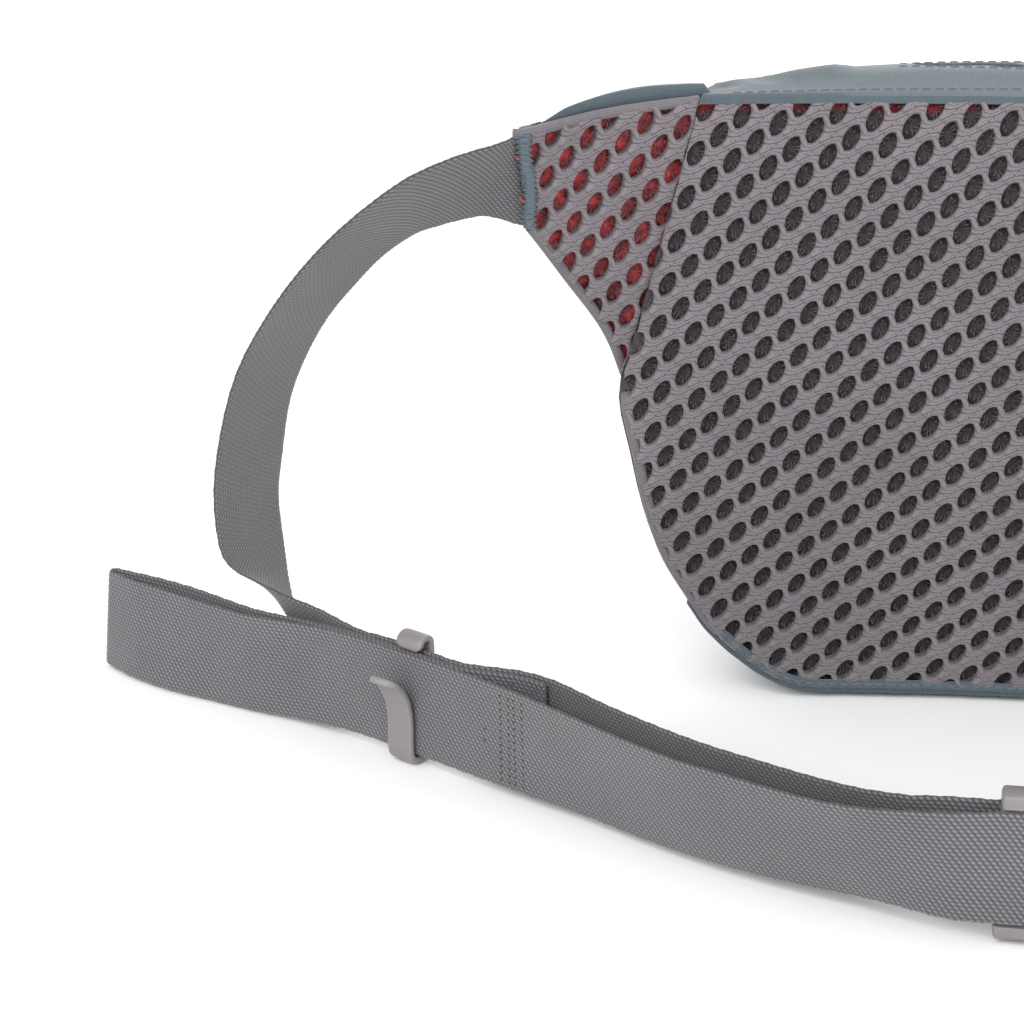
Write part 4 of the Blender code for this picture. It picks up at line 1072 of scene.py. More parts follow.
def billow(grid, normal, held, frames=26):
    """How far each point of the shell's cloth moves out when the filling presses on it between its held lines."""
    if "shell" not in BILLOW:
        scene = bpy.context.scene
        rows, cols = np.arange(0, grid.shape[0], 2), np.append(np.arange(0, grid.shape[1] - 1, 2), grid.shape[1] - 1)
        coarse = grid[np.ix_(rows, cols)]
        g = np.arange(coarse.shape[0] * coarse.shape[1]).reshape(coarse.shape[:2])
        faces = np.stack([g[:-1, :-1], g[:-1, 1:], g[1:, 1:], g[1:, :-1]], -1).reshape(-1, 4)
        a, b = coarse[24, 20], coarse[24, 21]
        if np.cross(b - a, coarse[25, 20] - a)[1] < 0:
            faces = faces[:, ::-1]
        me = bpy.data.meshes.new("drape")
        me.from_pydata((coarse.reshape(-1, 3) * MM).tolist(), [], faces.tolist())
        ob = bpy.data.objects.new("drape", me)
        scene.collection.objects.link(ob)
        group = ob.vertex_groups.new(name="held")
        for i in np.flatnonzero(held[np.ix_(rows, cols)].ravel()):
            group.add([int(i)], 1.0, "REPLACE")
        mod = ob.modifiers.new("cloth", "CLOTH")
        s = mod.settings
        s.quality, s.mass, s.air_damping = 8, 0.25, 4.0
        s.tension_stiffness = s.compression_stiffness = 12.0
        s.shear_stiffness, s.bending_stiffness = 4.0, 0.02
        s.vertex_group_mass, s.shrink_min = "held", -0.045
        s.use_pressure, s.uniform_pressure_force = True, 0.9
        s.effector_weights.gravity = 0.0
        mod.point_cache.frame_start, mod.point_cache.frame_end = 1, frames
        for frame_no in range(1, frames + 1):
            scene.frame_set(frame_no)
        done = ob.evaluated_get(bpy.context.evaluated_depsgraph_get()).data
        pts = np.zeros(len(done.vertices) * 3)
        done.vertices.foreach_get("co", pts)
        move = ((pts.reshape(coarse.shape) / MM - coarse) * normal[np.ix_(rows, cols)]).sum(2)
        scene.frame_set(1)
        bpy.data.objects.remove(ob)
        bpy.data.meshes.remove(me)
        across_rows = np.stack([np.interp(np.arange(grid.shape[0]), rows, move[:, k]) for k in range(len(cols))], 1)
        full = np.stack([np.interp(np.arange(grid.shape[1]), cols, line) for line in across_rows])
        for _ in range(2):
            full[1:-1, 1:-1] = (full[1:-1, 1:-1] * 2 + full[:-2, 1:-1] + full[2:, 1:-1]
                                + full[1:-1, :-2] + full[1:-1, 2:]) / 6
        BILLOW["shell"] = np.clip(full, -2.0, 5.5)
    return BILLOW["shell"]


def shell_grid(inset=0.0, stations=STATIONS, samples=SAMPLES):
    """Points of the padded shell's outer face, station by section sample, swollen between its seams."""
    c = bpy.context.scene.cushion_cloth
    us = np.sin(np.pi / 2 * np.linspace(-1, 1, stations))
    grid = np.zeros((stations, samples, 3))
    arc = np.zeros((stations, samples))
    for i, u in enumerate(us):
        path = shell_profile(u)
        at = along(path)
        share = np.linspace(0, 1, samples)
        y = np.interp(share * at[-1], at, path[:, 0])
        z = np.interp(share * at[-1], at, path[:, 1])
        grid[i] = shell_point(u, y, z)
        arc[i] = share * at[-1]
    du, dv = np.gradient(grid, axis=0), np.gradient(grid, axis=1)
    normal = np.cross(du, dv)
    normal /= np.maximum(np.linalg.norm(normal, axis=2), 1e-9)[..., None]
    if normal[stations // 2, samples // 3, 1] < 0:
        normal = -normal
    share = np.linspace(0, 1, samples)[None, :]
    side = (1 - np.abs(us))[:, None]
    rear = np.sin(np.pi * np.clip((share - 0.04) / (SEAM_AT - 0.04), 0, 1)) ** 0.6
    top = np.sin(np.pi * np.clip((share - SEAM_AT) / (1 - SEAM_AT), 0, 1)) ** 0.6
    swell = c.puff * np.where(share < SEAM_AT, rear, top * 0.35) * smooth(side, 0.0, 0.15)
    near_seam = np.exp(-((share - SEAM_AT) * arc[:, -1:] / 16.0) ** 2)
    near_side = np.exp(-(side * 110 / 14.0) ** 2)
    x = grid[..., 0]
    folds = 0.55 * ripple(x * 2.6, arc * 0.5, 11) * near_seam + 0.5 * ripple(x * 0.4, arc * 2.2, 5) * near_side
    folds = folds + 0.75 * ripple(x, arc, 23) * smooth(side, 0.0, 0.2)
    seam = -1.25 * np.exp(-((share - SEAM_AT) * arc[:, -1:] / 1.5) ** 2)
    hush = smooth(grid[..., 2], 3.0, 26.0)
    zipper = 1 - np.exp(-(((grid[..., 1] + 20.0) / 11.0) ** 4)) * (np.abs(x) < 66) * (share > SEAM_AT)
    front = smooth((1 - share) * arc[:, -1:], 4, 14)
    push = swell + folds * front
    held = (np.abs(us)[:, None] > 0.985) | (share < 0.02) | (share > 0.94)
    held = held | (np.abs(share - SEAM_AT) < 0.006) | (zipper < 0.75)
    push = billow(grid, normal, held) * front + 0.5 * folds * front
    out = grid + normal * (push * zipper * hush + seam - inset)[..., None]
    floor = np.where(grid[..., 2] < 3, grid[..., 2] * 0.2 + inset, 0.0)
    out[..., 2] = np.maximum(out[..., 2], floor)
    return out, x, arc, us


def shell_sheet(name, cols, mat, slot, cut=None):
    outer, x, arc, _ = shell_grid()
    inner = shell_grid(SHELL_SHEET_T)[0]
    front, back = outer[:, cols], inner[:, cols]
    uv = np.stack([x[:, cols], arc[:, cols]], -1)
    n, m = front.shape[:2]
    pts = np.concatenate([front.reshape(-1, 3), back.reshape(-1, 3)])
    faces = slab_faces(n, m)
    uvs = np.concatenate([uv.reshape(-1, 2)] * 2)
    if cut is not None:
        field = cut(pts)
        gone = (field < 0)[faces].all(1)
        faces = faces[~gone]
        edge = field < 0
        pts = pts.copy()
        pts[edge] = cut.snap(pts[edge])
    ob = make_piece(name, pts, faces, mat, "cushion", slot, uvs, sharp=55)
    if cut is not None:
        bm = bmesh.new()
        bm.from_mesh(ob.data)
        bmesh.ops.delete(bm, geom=[v for v in bm.verts if not v.link_faces], context="VERTS")
        rim = [e for e in bm.edges if len(e.link_faces) == 1]
        bmesh.ops.bridge_loops(bm, edges=rim)
        bm.to_mesh(ob.data)
        bm.free()
        ob.data.shade_smooth()
    return outward(ob)


class ZipOpening:
    """The slit in the top panel: distance outside it, and its nearest edge."""
    half, wide, y = 53.0, 3.3, -20.0

    def __call__(self, p):
        dx = np.abs(p[:, 0]) - (self.half - self.wide)
        dy = np.abs(p[:, 1] - self.y)
        return np.where(p[:, 2] > BODY_H - 12, np.where(dx > 0, np.hypot(np.maximum(dx, 0), dy), dy) - self.wide, 50.0)

    def snap(self, p):
        q = p.copy()
        core = np.clip(p[:, 0], -(self.half - self.wide), self.half - self.wide)
        d = np.stack([p[:, 0] - core, p[:, 1] - self.y], -1)
        size = np.maximum(np.linalg.norm(d, axis=1), 1e-3)[:, None]
        q[:, 0] = core + d[:, 0] / size[:, 0] * self.wide
        q[:, 1] = self.y + d[:, 1] / size[:, 0] * self.wide
        q[:, 2] -= 0.5
        return q


def shell_line(share, low=-0.96, high=0.96, lift=0.15):
    """A line across the shell at one share of its section, just proud of the cloth."""
    outer, _, _, us = shell_grid()
    samples = outer.shape[1]
    pos = share * (samples - 1)
    i = int(pos)
    line = outer[:, i] + (outer[:, min(i + 1, samples - 1)] - outer[:, i]) * (pos - i)
    du, dv = np.gradient(outer, axis=0)[:, i], np.gradient(outer, axis=1)[:, i]
    n = np.cross(du, dv)
    n /= np.maximum(np.linalg.norm(n, axis=1), 1e-9)[:, None]
    if n[len(us) // 2, 1] + n[len(us) // 2, 2] < 0:
        n = -n
    keep = (us > low) & (us < high)
    return (line + n * lift)[keep]


def build_shell():
    """Rear and top panels of the padded shell, the seam between them and its topstitching."""
    seam = int(SEAM_AT * (SAMPLES - 1))
    rear = shell_sheet("shell_rear_cloth", slice(0, seam + 1), FIN["shell"], "shell_fabric")
    top = shell_sheet("shell_top_cloth", slice(seam, SAMPLES), FIN["shell"], "shell_fabric", ZipOpening())
    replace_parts(rear, "shell_rear", "foam_core")
    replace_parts(top, "shell_top")
    line = evenly(shell_line(SEAM_AT, -1.1, 1.1, 0.45), 2.0)
    pipe("seam_piping", line, 0.95, FIN["binding"], (0, 0.7, 0.7), 10, slot="shell_fabric")
    length = shell_grid()[2][STATIONS // 2, -1]
    rows = [shell_line(SEAM_AT + s * 3.4 / length, -0.97, 0.97, 0.05) for s in (-1, 1)]
    rows.append(shell_line(1 - 5.6 / length, -0.93, 0.93, 0.05))
    sew("shell_topstitch", rows, FIN["thread"])


def build_binding():
    """Tape folded over the lower edge of the face, with its row of stitches."""
    side = OUT[OUT[:, 1] <= 27.0]
    pts = np.array([(-x, z) for x, z in side[::-1]] + [(x, LIFT) for x in np.linspace(-55, 55, 23)]
                   + [(x, z) for x, z in side])
    line = np.column_stack([pts, np.zeros(len(pts))])
    line = evenly(line, 1.7)[:, :2]
    rings, uvs, sewn = [], [], []
    at = along(line)
    section = [(3.1, -0.75), (2.9, -1.2), (1.4, -1.45), (0.1, -1.15), (-0.75, -0.2), (-1.05, 1.6), (-1.1, 5.0),
               (-1.05, 9.0),
               (0.1, 9.2), (0.35, 6.0), (0.4, 2.0), (0.5, 0.3), (1.5, -0.35), (2.8, -0.3)]
    for i, (x, z) in enumerate(line):
        a, b = line[max(i - 1, 0)], line[min(i + 1, len(line) - 1)]
        t = unit(b - a)
        inward = np.array([-t[1], t[0]])
        fade = float(smooth(min(i, len(line) - 1 - i), 0, 6))
        ring, ruv = [], []
        crinkle = 0.10 * math.sin(at[i] / 1.45) + 0.08 * math.sin(at[i] / 3.7 + 1)
        for k, (inn, back) in enumerate(section):
            inn2 = inn * (0.45 + 0.55 * fade) if inn > 0.6 else inn
            px, pz = x + inward[0] * inn2, z + inward[1] * inn2
            drop = float(roll_of(np.array([max(inn2, 0.0)]), 2.6)[0]) if back < 0.5 and inn > 0.05 else 0.0
            py = float(edge_y(px)) + back + drop * 0.9 + (crinkle if back < 0 else 0)
            ring.append((px, py, max(pz, 0.12)))
            ruv.append((at[i], k * 1.2))
        rings.append(ring)
        uvs.append(ruv)
        inn2 = 2.0 * (0.45 + 0.55 * fade)
        px, pz = x + inward[0] * inn2, z + inward[1] * inn2
        drop = float(roll_of(np.array([inn2]), 2.6)[0])
        sewn.append((px, float(edge_y(px)) - 1.42 + drop * 0.9, max(pz, 0.4)))
    tape = tube("edge_binding", rings, FIN["binding"], slot="shell_fabric", uv=uvs)
    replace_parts(tape, "bottom_binding")
    sew("binding_stitch", [sewn], FIN["thread"], length=1.9)


# ------------------------------------------------------------------ zip
def build_zip():
    """Coil, tapes, stops, slider and pull."""
    low, high = node_box("zip_chain")
    mid_y, z0, z1 = (low[1] + high[1]) / 2, low[2], high[2]
    tooth = []
    faces = []
    for i, t in enumerate((0.0, 0.25, 0.6, 0.85, 1.0)):
        r = (0.42, 0.50, 0.46, 0.52, 0.25)[i]
        for k in range(8):
            q = 2 * math.pi * k / 8
            tooth.append((math.cos(q) * r, -0.35 + t * 2.3, math.sin(q) * r * 1.25 + 0.12 * math.sin(t * 3)))
    for i in range(4):
        faces += [(i * 8 + k, i * 8 + (k + 1) % 8, (i + 1) * 8 + (k + 1) % 8, (i + 1) * 8 + k) for k in range(8)]
    faces += [tuple(range(8))[::-1], tuple(range(32, 40))]
    for tag, turn, start in (("front", math.pi, 0.0), ("rear", 0.0, 0.7)):
        stamp = stamp_object("tooth", tooth, faces)
        me = bpy.data.meshes.new("line")
        y = mid_y
        xs = np.linspace(low[0] + start, high[0] - 0.7 + start, 60)
        me.from_pydata([(float(x), float(y), float((z0 + z1) / 2)) for x in xs], [(i, i + 1) for i in range(59)], [])
        host = bpy.data.objects.new("line", me)
        bpy.context.scene.collection.objects.link(host)
        tree, ids = stitch_tree()
        mesh = run_tree(tree, ids, {"Stitch": stamp, "Step": 1.4, "Turn": turn, "Material": FIN["zip"]}, host)
        bpy.data.objects.remove(stamp)
        mesh.transform(Matrix.Scale(MM, 4))
        mesh.shade_smooth()
        coil = bpy.data.objects.new("zip_coil_" + tag, mesh)
        bpy.context.scene.collection.objects.link(coil)
        outward(dress(coil, FIN["zip"], "cushion", "zip_plastic"))
        if tag == "front":
            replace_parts(coil, "zip_chain")
        lo, hi = node_box("zip_tape_" + tag)
        xs = np.linspace(lo[0], hi[0], 80)
        ys = np.linspace(lo[1], hi[1], 10)
        gx, gy = np.meshgrid(xs, ys, indexing="ij")
        sag = 0.18 * ripple(gx, gy * 0, 31)
        front = np.stack([gx, gy, hi[2] + sag * smooth(np.abs(gy - mid_y), 1.5, 4)], -1)
        back = np.stack([gx, gy, lo[2] + 0 * gx], -1)
        tape = slab("zip_tape_%s_cloth" % tag, front, back, FIN["tape"], slot="zip_tape", uv=np.stack([gx, gy], -1))
        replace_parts(tape, "zip_tape_" + tag)
    for node in ("zip_stop_left", "zip_stop_right"):
        refined(node, FIN["zip"], "cushion", "zip_plastic", 0.2)
    cloth = bpy.data.objects["shell_top_cloth"]
    rows = [drop([(x, mid_y + s * 5.6) for x in np.linspace(-55, 55, 60)], cloth) for s in (-1, 1)]
    sew("zip_stitch", rows, FIN["thread"])
    refined("zip_slider", FIN["zip"], "zip_slider", "zip_plastic", 0.28)
    refined("zip_pull", FIN["zip"], "zip_pull", "zip_plastic", 0.16)
    lo, hi = node_box("zip_pull")
    mid = (lo + hi) / 2
    rings, n = [], 20
    length = 13.0
    for i in range(n):
        t = i / (n - 1)
        wide = 2.6 * (math.sin(math.pi * min(1, t * 0.86 + 0.10))) ** 0.45 + 0.6
        thick = 1.2 * (math.sin(math.pi * (0.06 + 0.88 * t))) ** 0.5
        x = hi[0] - 1.0 - length + length * t
        rib = 0.12 * math.cos(2 * math.pi * t * 8) * (0.15 < t < 0.85)
        rings.append([(x, mid[1] + math.cos(q) * (wide + rib), mid[2] + math.sin(q) * (thick + rib))
                      for q in circle(20)])
    tube("zip_pull_grip", rings, FIN["buckle"], "zip_pull", "zip_plastic")


def drop(spots, cloth, lift=0.06):
    """Points on top of a piece of cloth, above the given X and Y."""
    found = []
    for x, y in spots:
        hit, where, _, _ = cloth.ray_cast(Vector((x, y, 400)) * MM, Vector((0, 0, -1)))
        if hit:
            found.append((x, y, where.z / MM + lift))
    return found


def refined(node, mat, body, slot, radius, segments=2):
    """A merged copy of a solid with rounded edges, standing for it."""
    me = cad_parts[node].data.copy()
    me.materials.clear()
    ob = bpy.data.objects.new(node + "_moulding", me)
    bpy.context.scene.collection.objects.link(ob)
    bm = bmesh.new()
    bm.from_mesh(me)
    bmesh.ops.remove_doubles(bm, verts=bm.verts, dist=1e-6)
    bmesh.ops.dissolve_limit(bm, angle_limit=math.radians(2), verts=bm.verts, edges=bm.edges)
    bmesh.ops.recalc_face_normals(bm, faces=bm.faces)
    bm.to_mesh(me)
    bm.free()
    for attribute in [a.name for a in me.attributes if a.name.startswith("custom_normal")]:
        me.attributes.remove(me.attributes[attribute])
    mod = ob.modifiers.new("round", "BEVEL")
    mod.width, mod.segments, mod.limit_method, mod.angle_limit = radius * MM, segments, "ANGLE", math.radians(35)
    mod.use_clamp_overlap = True
    me.shade_smooth()
    me.set_sharp_from_angle(angle=math.radians(50))
    dress(ob, mat, body, slot)
    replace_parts(ob, node)
    return ob


# ------------------------------------------------------------------ belt
FRONT_RUN = [(-38.0, -119.2, 17.0, 4), (-47.0, -117.6, 16.5, 12), (-57.2, -114.4, 15.8, 17), (-68.4, -110.0, 15.2, 16),
             (-81.0, -104.0, 14.7, 13), (-92.8, -97.6, 14.3, 12), (-104.3, -90.4, 14.2, 10), (-116.4, -82.3, 14.4, 8),
             (-127.0, -75.6, 14.6, 4), (-138.0, -69.0, 14.8, 1), (-150.0, -61.8, 14.9, 0), (-160.0, -55.8, 14.9, 0),
             (-170.0, -49.9, 14.9, 0), (-178.0, -45.2, 14.6, 0), (-186.0, -40.9, 14.0, -1), (-195.0, -37.2, 13.4, -1),
             (-205.8, -33.6, 13.0, 0), (-216.7, -28.8, 12.9, -3), (-227.5, -24.0, 12.9, -8), (-238.0, -18.5, 12.9, -8),
             (-246.5, -12.6, 12.9, -6)]
TAIL_BEHIND = {-246.5: 2.6, -238.0: 5.4, -227.5: 5.8, -216.7: 5.2, -205.8: 4.2, -195.0: 3.0, -186.0: 2.1, -178.0: 1.8,
               -150.0: 1.8, -144.0: 4.2, -138.0: 7.2, -131.0: 8.4}
MAIN_BEHIND = {-195.0: 7.4, -186.0: 5.6, -178.0: 3.7, -150.0: 3.6, -144.0: 6.3, -138.0: 9.3, -131.0: 10.5,
               -116.4: 9.6, -92.8: 9.6, -68.4: 9.0, -57.2: 8.2, -47.0: 6.6, -38.0: 5.2}
ARC = [(-145.0, -30.3, 134.0, 0.20, -0.58, 0.79), (-151.5, -35.4, 133.2, 0.14, -0.66, 0.74),
       (-157.5, -39.6, 131.6, 0.08, -0.72, 0.69), (-163.0, -43.0, 129.3, 0.00, -0.79, 0.61),
       (-171.7, -47.6, 122.9, -0.19, -0.88, 0.43), (-179.4, -50.2, 114.8, -0.29, -0.90, 0.32),
       (-186.3, -51.0, 105.7, -0.37, -0.92, 0.17), (-192.5, -50.0, 94.8, -0.42, -0.90, 0.05),
       (-197.5, -47.4, 81.5, -0.42, -0.91, -0.07), (-201.0, -43.2, 66.0, -0.42, -0.89, -0.12),
       (-202.6, -38.6, 52.0, -0.33, -0.90, -0.20), (-201.8, -34.2, 41.0, -0.25, -0.96, 0.11),
       (-199.4, -30.4, 32.0, -0.10, -0.88, 0.45), (-195.0, -28.0, 21.5, -0.05, -0.55, 0.83),
       (-187.0, -31.7, 16.2, 0.00, -0.20, 0.98)]
BUCKLE_Y, BUCKLE_Z, BAR_T, GAP = -117.0, 17.2, 3.6, 0.3
LEG = BAR_T / 2 + GAP + WEB_T / 2


def front_at(x):
    rows = catmull(FRONT_RUN, 6)[::-1]
    at = np.array([np.interp(x, rows[:, 0], rows[:, k]) for k in range(4)])
    more = np.array([np.interp(x + 1.0, rows[:, 0], rows[:, k]) for k in range(4)])
    t = unit(np.array([more[0] - at[0], more[1] - at[1], 0.0]))
    return at[:3], t, np.array([-t[1], t[0], 0.0]), math.radians(at[3])


def behind(table, x):
    keys = sorted(table)
    return float(np.interp(x, keys, [table[k] for k in keys]))


def front_rows(xs, offset=lambda x: 0.0, up=0.0):
    rows = []
    for x in xs:
        p, _, away, lean = front_at(x)
        p = p + away * offset(x) + np.array([0, 0, up])
        rows.append([*p, *(-away * math.sin(lean) + np.array([0, 0, math.cos(lean)]))])
    return rows


def bar_turn(x_bar, r, y_mid, n=4):
    return [[x_bar + r * math.sin(math.pi * k / n), y_mid + r * math.cos(math.pi * k / n), BUCKLE_Z, 0, 0, 1]
            for k in range(n + 1)]


def sewn_end():
    rows = []
    top, low = wing_edges(1.0)
    for back in (11.0, 7.5, 4.0, -0.9):
        x, z = top[0] - back, (top[1] + low[1]) / 2
        w = unit(np.array([0.0, float(wing_y(x, z + 1) - wing_y(x, z)), 1.0]))
        rows.append([-x, float(wing_y(x, z)) + FORWARD + 3.0 + 0.42 + 1.36 * WEB_T / 2, z, *w])
    return rows


def strap_rows():
    arc = sewn_end() + [list(r) for r in ARC]
    run = front_rows([-178, -170, -160, -150], lambda x: behind(MAIN_BEHIND, x), 0.3)
    run += front_rows([-144, -138, -131, -124, -116.4, -104.3, -92.8, -81, -68.4, -57.2, -47],
                      lambda x: behind(MAIN_BEHIND, x), 0.3)
    rows = catmull(arc + run, 3).tolist()
    end = [rows[-1], [-38.0, BUCKLE_Y + LEG + 0.6, BUCKLE_Z - 0.1, 0, -0.03, 1],
           [-31.0, BUCKLE_Y + LEG, BUCKLE_Z, 0, 0, 1],
           [-24.0, BUCKLE_Y + LEG, BUCKLE_Z, 0, 0, 1], [-16.5, BUCKLE_Y + LEG, BUCKLE_Z, 0, 0, 1]]
    return np.array(rows[:-1] + catmull(end, 3).tolist())


def tail_rows():
    turn = [[-15.6, BUCKLE_Y + LEG, BUCKLE_Z, 0, 0, 1]] + bar_turn(-14.0, LEG, BUCKLE_Y, 6)
    lead = [[-20.0, BUCKLE_Y - LEG, BUCKLE_Z, 0, 0, 1], [-28.0, BUCKLE_Y - LEG, BUCKLE_Z, 0, 0, 1]]
    xs = [-47.0, -57.2, -68.4, -81, -92.8, -104.3, -116.4, -127, -138, -150, -160, -170, -178, -186, -195, -205.8,
          -216.7, -227.5, -238, -244]
    out = catmull(lead + [[-37.0, BUCKLE_Y - LEG - 0.1, BUCKLE_Z - 0.3, 0, -0.07, 1]] + front_rows(xs), 2).tolist()
    p, t, away, lean = front_at(-246.5)
    fold = []
    for k in range(1, 6):
        q = math.pi * k / 6
        c = p - t * (1.6 * math.sin(q) * 1.4 + 1.0) + away * (1.6 - 1.6 * math.cos(q))
        fold.append([*c, *(-away * math.sin(lean) + np.array([0, 0, math.cos(lean)]))])
    xs_back = [-246.5, -238, -227.5, -216.7, -205.8, -195, -186, -178, -170, -160, -150, -144, -138, -131.5]
    inner = front_rows(xs_back, lambda x: behind(TAIL_BEHIND, x) + 0.6 * (x < -240), 0.0)
    back = catmull(fold[-1:] + inner, 2).tolist()
    return np.array(turn + out + fold[:-1] + back)


def right_rows():
    rows = strap_rows()
    bar = float(node_box("belt_strap_right")[0][0]) + LEG + WEB_T / 2
    bar = -bar
    rows = [r for r in rows.tolist() if r[0] < -40.0 and (r[0] < -58.0 or r[2] > 30)]
    lead = [rows[-1], [-50.0, BUCKLE_Y + LEG + 2.0, BUCKLE_Z - 0.6, 0, -0.1, 1],
            [-42.0, BUCKLE_Y + LEG + 0.1, BUCKLE_Z, 0, 0, 1],
            [bar - 2.0, BUCKLE_Y + LEG, BUCKLE_Z, 0, 0, 1]]
    back = [[bar - 2.5, BUCKLE_Y - LEG, BUCKLE_Z, 0, 0, 1], [-38.0, BUCKLE_Y - LEG + 0.6, BUCKLE_Z, 0, 0, 1],
            [-44.0, BUCKLE_Y - LEG + 3.0, BUCKLE_Z, 0, 0, 1],
            [-50.0, BUCKLE_Y + LEG + 2.0 - WEB_T - 0.5, BUCKLE_Z - 0.6, 0, -0.1, 1],
            [-60.0, BUCKLE_Y + LEG + 6.4, BUCKLE_Z - 1.5, 0, -0.25, 1]]
    round_bar = bar_turn(bar, LEG, BUCKLE_Y, 6)
    return np.array(rows[:-1] + catmull(lead, 3).tolist()[:-1] + round_bar + catmull(back, 3).tolist())


def frames(rows, step):
    """Evenly spaced centres, width directions and normals of a strap."""
    fine = evenly(rows, step)
    pos = fine[:, :3] - np.array([0, FORWARD, 0])
    t = np.gradient(pos, axis=0)
    t /= np.linalg.norm(t, axis=1)[:, None]
    w = fine[:, 3:6] / np.linalg.norm(fine[:, 3:6], axis=1)[:, None]
    n = np.cross(t, w)
    return pos, w, n / np.linalg.norm(n, axis=1)[:, None]


def webbing(name, rows, slot="webbing", mirror=False):
    """A woven strap: warp cords side by side, each beaded by the weft, thinner at the selvedges."""
    b = bpy.context.scene.cushion_belt
    pos, w, n = frames(rows, b.bead / 2)
    if mirror:
        flip = np.array([-1, 1, 1])
        pos, w, n = pos * flip, w * flip, n * flip
    count, m = len(pos), 2 * b.cords + 1
    v = np.linspace(-1, 1, m)
    i = np.arange(count)[:, None]
    k = np.arange(m)[None, :]
    cord = (k - 1) // 2
    high = np.where(k % 2 == 1, 0.55 + 0.45 * np.where((i + cord) % 2 == 0, 1, -1), 0.12 + 0.1 * ((i + k // 2) % 2))
    high[:, (0, -1)] = 0.0
    half = WEB_T / 2 - b.relief
    taper = np.where(np.abs(v) > 0.97, 0.35, np.where(np.abs(v) > 0.9, 0.85, 1.0))[None, :]
    up = (half + b.relief * high) * taper
    low_high = np.where(k % 2 == 1, 0.55 - 0.45 * np.where((i + cord) % 2 == 0, 1, -1), 0.12)
    down = (half + b.relief * low_high) * taper
    jag = 0.14 * np.sin(np.arange(count) * 2.3) * (np.arange(count) % 2)
    side = (v[None, :] * (WEB_W / 2)) + np.where(np.abs(v)[None, :] > 0.99, np.sign(v)[None, :] * jag[:, None], 0)
    centre = pos[:, None, :] + w[:, None, :] * side[..., None]
    front = centre - n[:, None, :] * up[..., None]
    back = centre + n[:, None, :] * down[..., None]
    pts = np.concatenate([front.reshape(-1, 3), back.reshape(-1, 3)])
    at = along(pos)
    uv = np.stack([np.broadcast_to(at[:, None], side.shape), side], -1)
    uvs = np.concatenate([uv.reshape(-1, 2)] * 2)
    highs = np.concatenate([high.ravel(), low_high.ravel() + 0 * high.ravel()])
    return outward(make_piece(name, pts, slab_faces(count, m), FIN["webbing"], "cushion", slot, uvs, {"high": highs}))


def on_strap(rows, start, stop, across_at, off, mirror=False):
    """A line on a strap's face, between two lengths from its start."""
    pos, w, n = frames(rows, 0.8)
    at = along(pos)
    keep = (at >= start) & (at <= stop)
    line = pos[keep] + w[keep] * across_at + n[keep] * off
    return line * np.array([-1, 1, 1]) if mirror else line


def build_belt():
    """Three lengths of webbing, their hems and sewn ends."""
    left, tail, right = strap_rows(), tail_rows(), right_rows()
    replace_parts(webbing("webbing_left", left), "belt_strap_left")
    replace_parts(webbing("webbing_tail", tail), "belt_tail_left")
    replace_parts(webbing("webbing_right", right, mirror=True), "belt_strap_right")
    lines = []
    for mirror, rows in ((False, left), (True, right)):
        for s in (-9.5, 9.5):
            lines.append(on_strap(rows, 0.0, 10.0, s, 0.66, mirror))
    pos, w, n = frames(tail, 0.8)
    for path, backs, flip in ((frames(tail, 0.8), (2.5, 9.0), 1), (frames(right, 0.8), (4.0, 12.0), -1)):
        at = along(path[0])
        for back in backs:
            i = int(np.argmin(np.abs(at - (at[-1] - back))))
            for face in (-1, 1):
                hem = [path[0][i] + path[1][i] * s + path[2][i] * face * 0.66 for s in np.linspace(-10.5, 10.5, 12)]
                lines.append(np.array(hem) * np.array([flip, 1, 1]))
    marks = []
    for x, low, high in (*((x, -10.5, 10.5) for x in (-136.6, -134.8, -133.0, -131.2)), (-141.0, -2.0, 0.8)):
        i = int(np.argmin(np.abs(pos[:len(pos) // 2, 0] - x)))
        marks.append(np.array([pos[i] + w[i] * s - n[i] * 0.70 for s in np.linspace(low, high, 12)]))
    sew("belt_cross_stitch", marks, FIN["dark_thread"], step=1.7, length=0.8, thick=0.30)
    sew("webbing_stitch", lines, FIN["thread"], step=2.2, length=1.7, thick=0.5)


def thread(name, points, radius, mat):
    """A round thread through points, each given in millimetres."""
    return pipe(name, catmull(points, 3), radius, mat, (0.1, 1.0, 0.2), 7, slot="thread")


def build_bartacks():
    """A dense zigzag of thread where each strap is sewn into its wing, and two red flecks beside it."""
    surface = surface_of(wing_y, wing_fall)
    for side, tag in ((-1, "left"), (1, "right")):
        tip_x = HALF_TOP + WING_REACH
        top = float(np.interp(tip_x - 2.4, WING_TOP[:, 0], WING_TOP[:, 1])) - 0.6
        low = float(WING_LOW[-1, 1]) + 0.9
        count = int((top - low) / 0.33)
        zs = np.linspace(low, top, count)
        swing = np.where(np.arange(count) % 2 == 0, 1.05, -1.05) + 0.18 * np.sin(np.arange(count) * 1.7)
        xs = side * (tip_x - 1.35 + swing + 0.25 * np.sin(zs / 3.1))
        path = surface(xs, zs, np.full(count, -0.25))
        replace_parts(thread("bartack_" + tag, path, 0.35, FIN["thread"]), "wing_bartack_" + tag)
        for n, (share, off) in enumerate(((0.30, 0.1), (0.74, 0.0))):
            z = low + (top - low) * share
            reach = np.array([-1.0, 0.0, 1.0])
            p = surface(side * (tip_x - off + 0.15 * reach), z + 0.2 * reach, np.array([-0.5, -0.75, -0.5]))
            thread("bartack_fleck_%s_%d" % (tag, n + 1), p, 0.32, FIN["red_thread"])


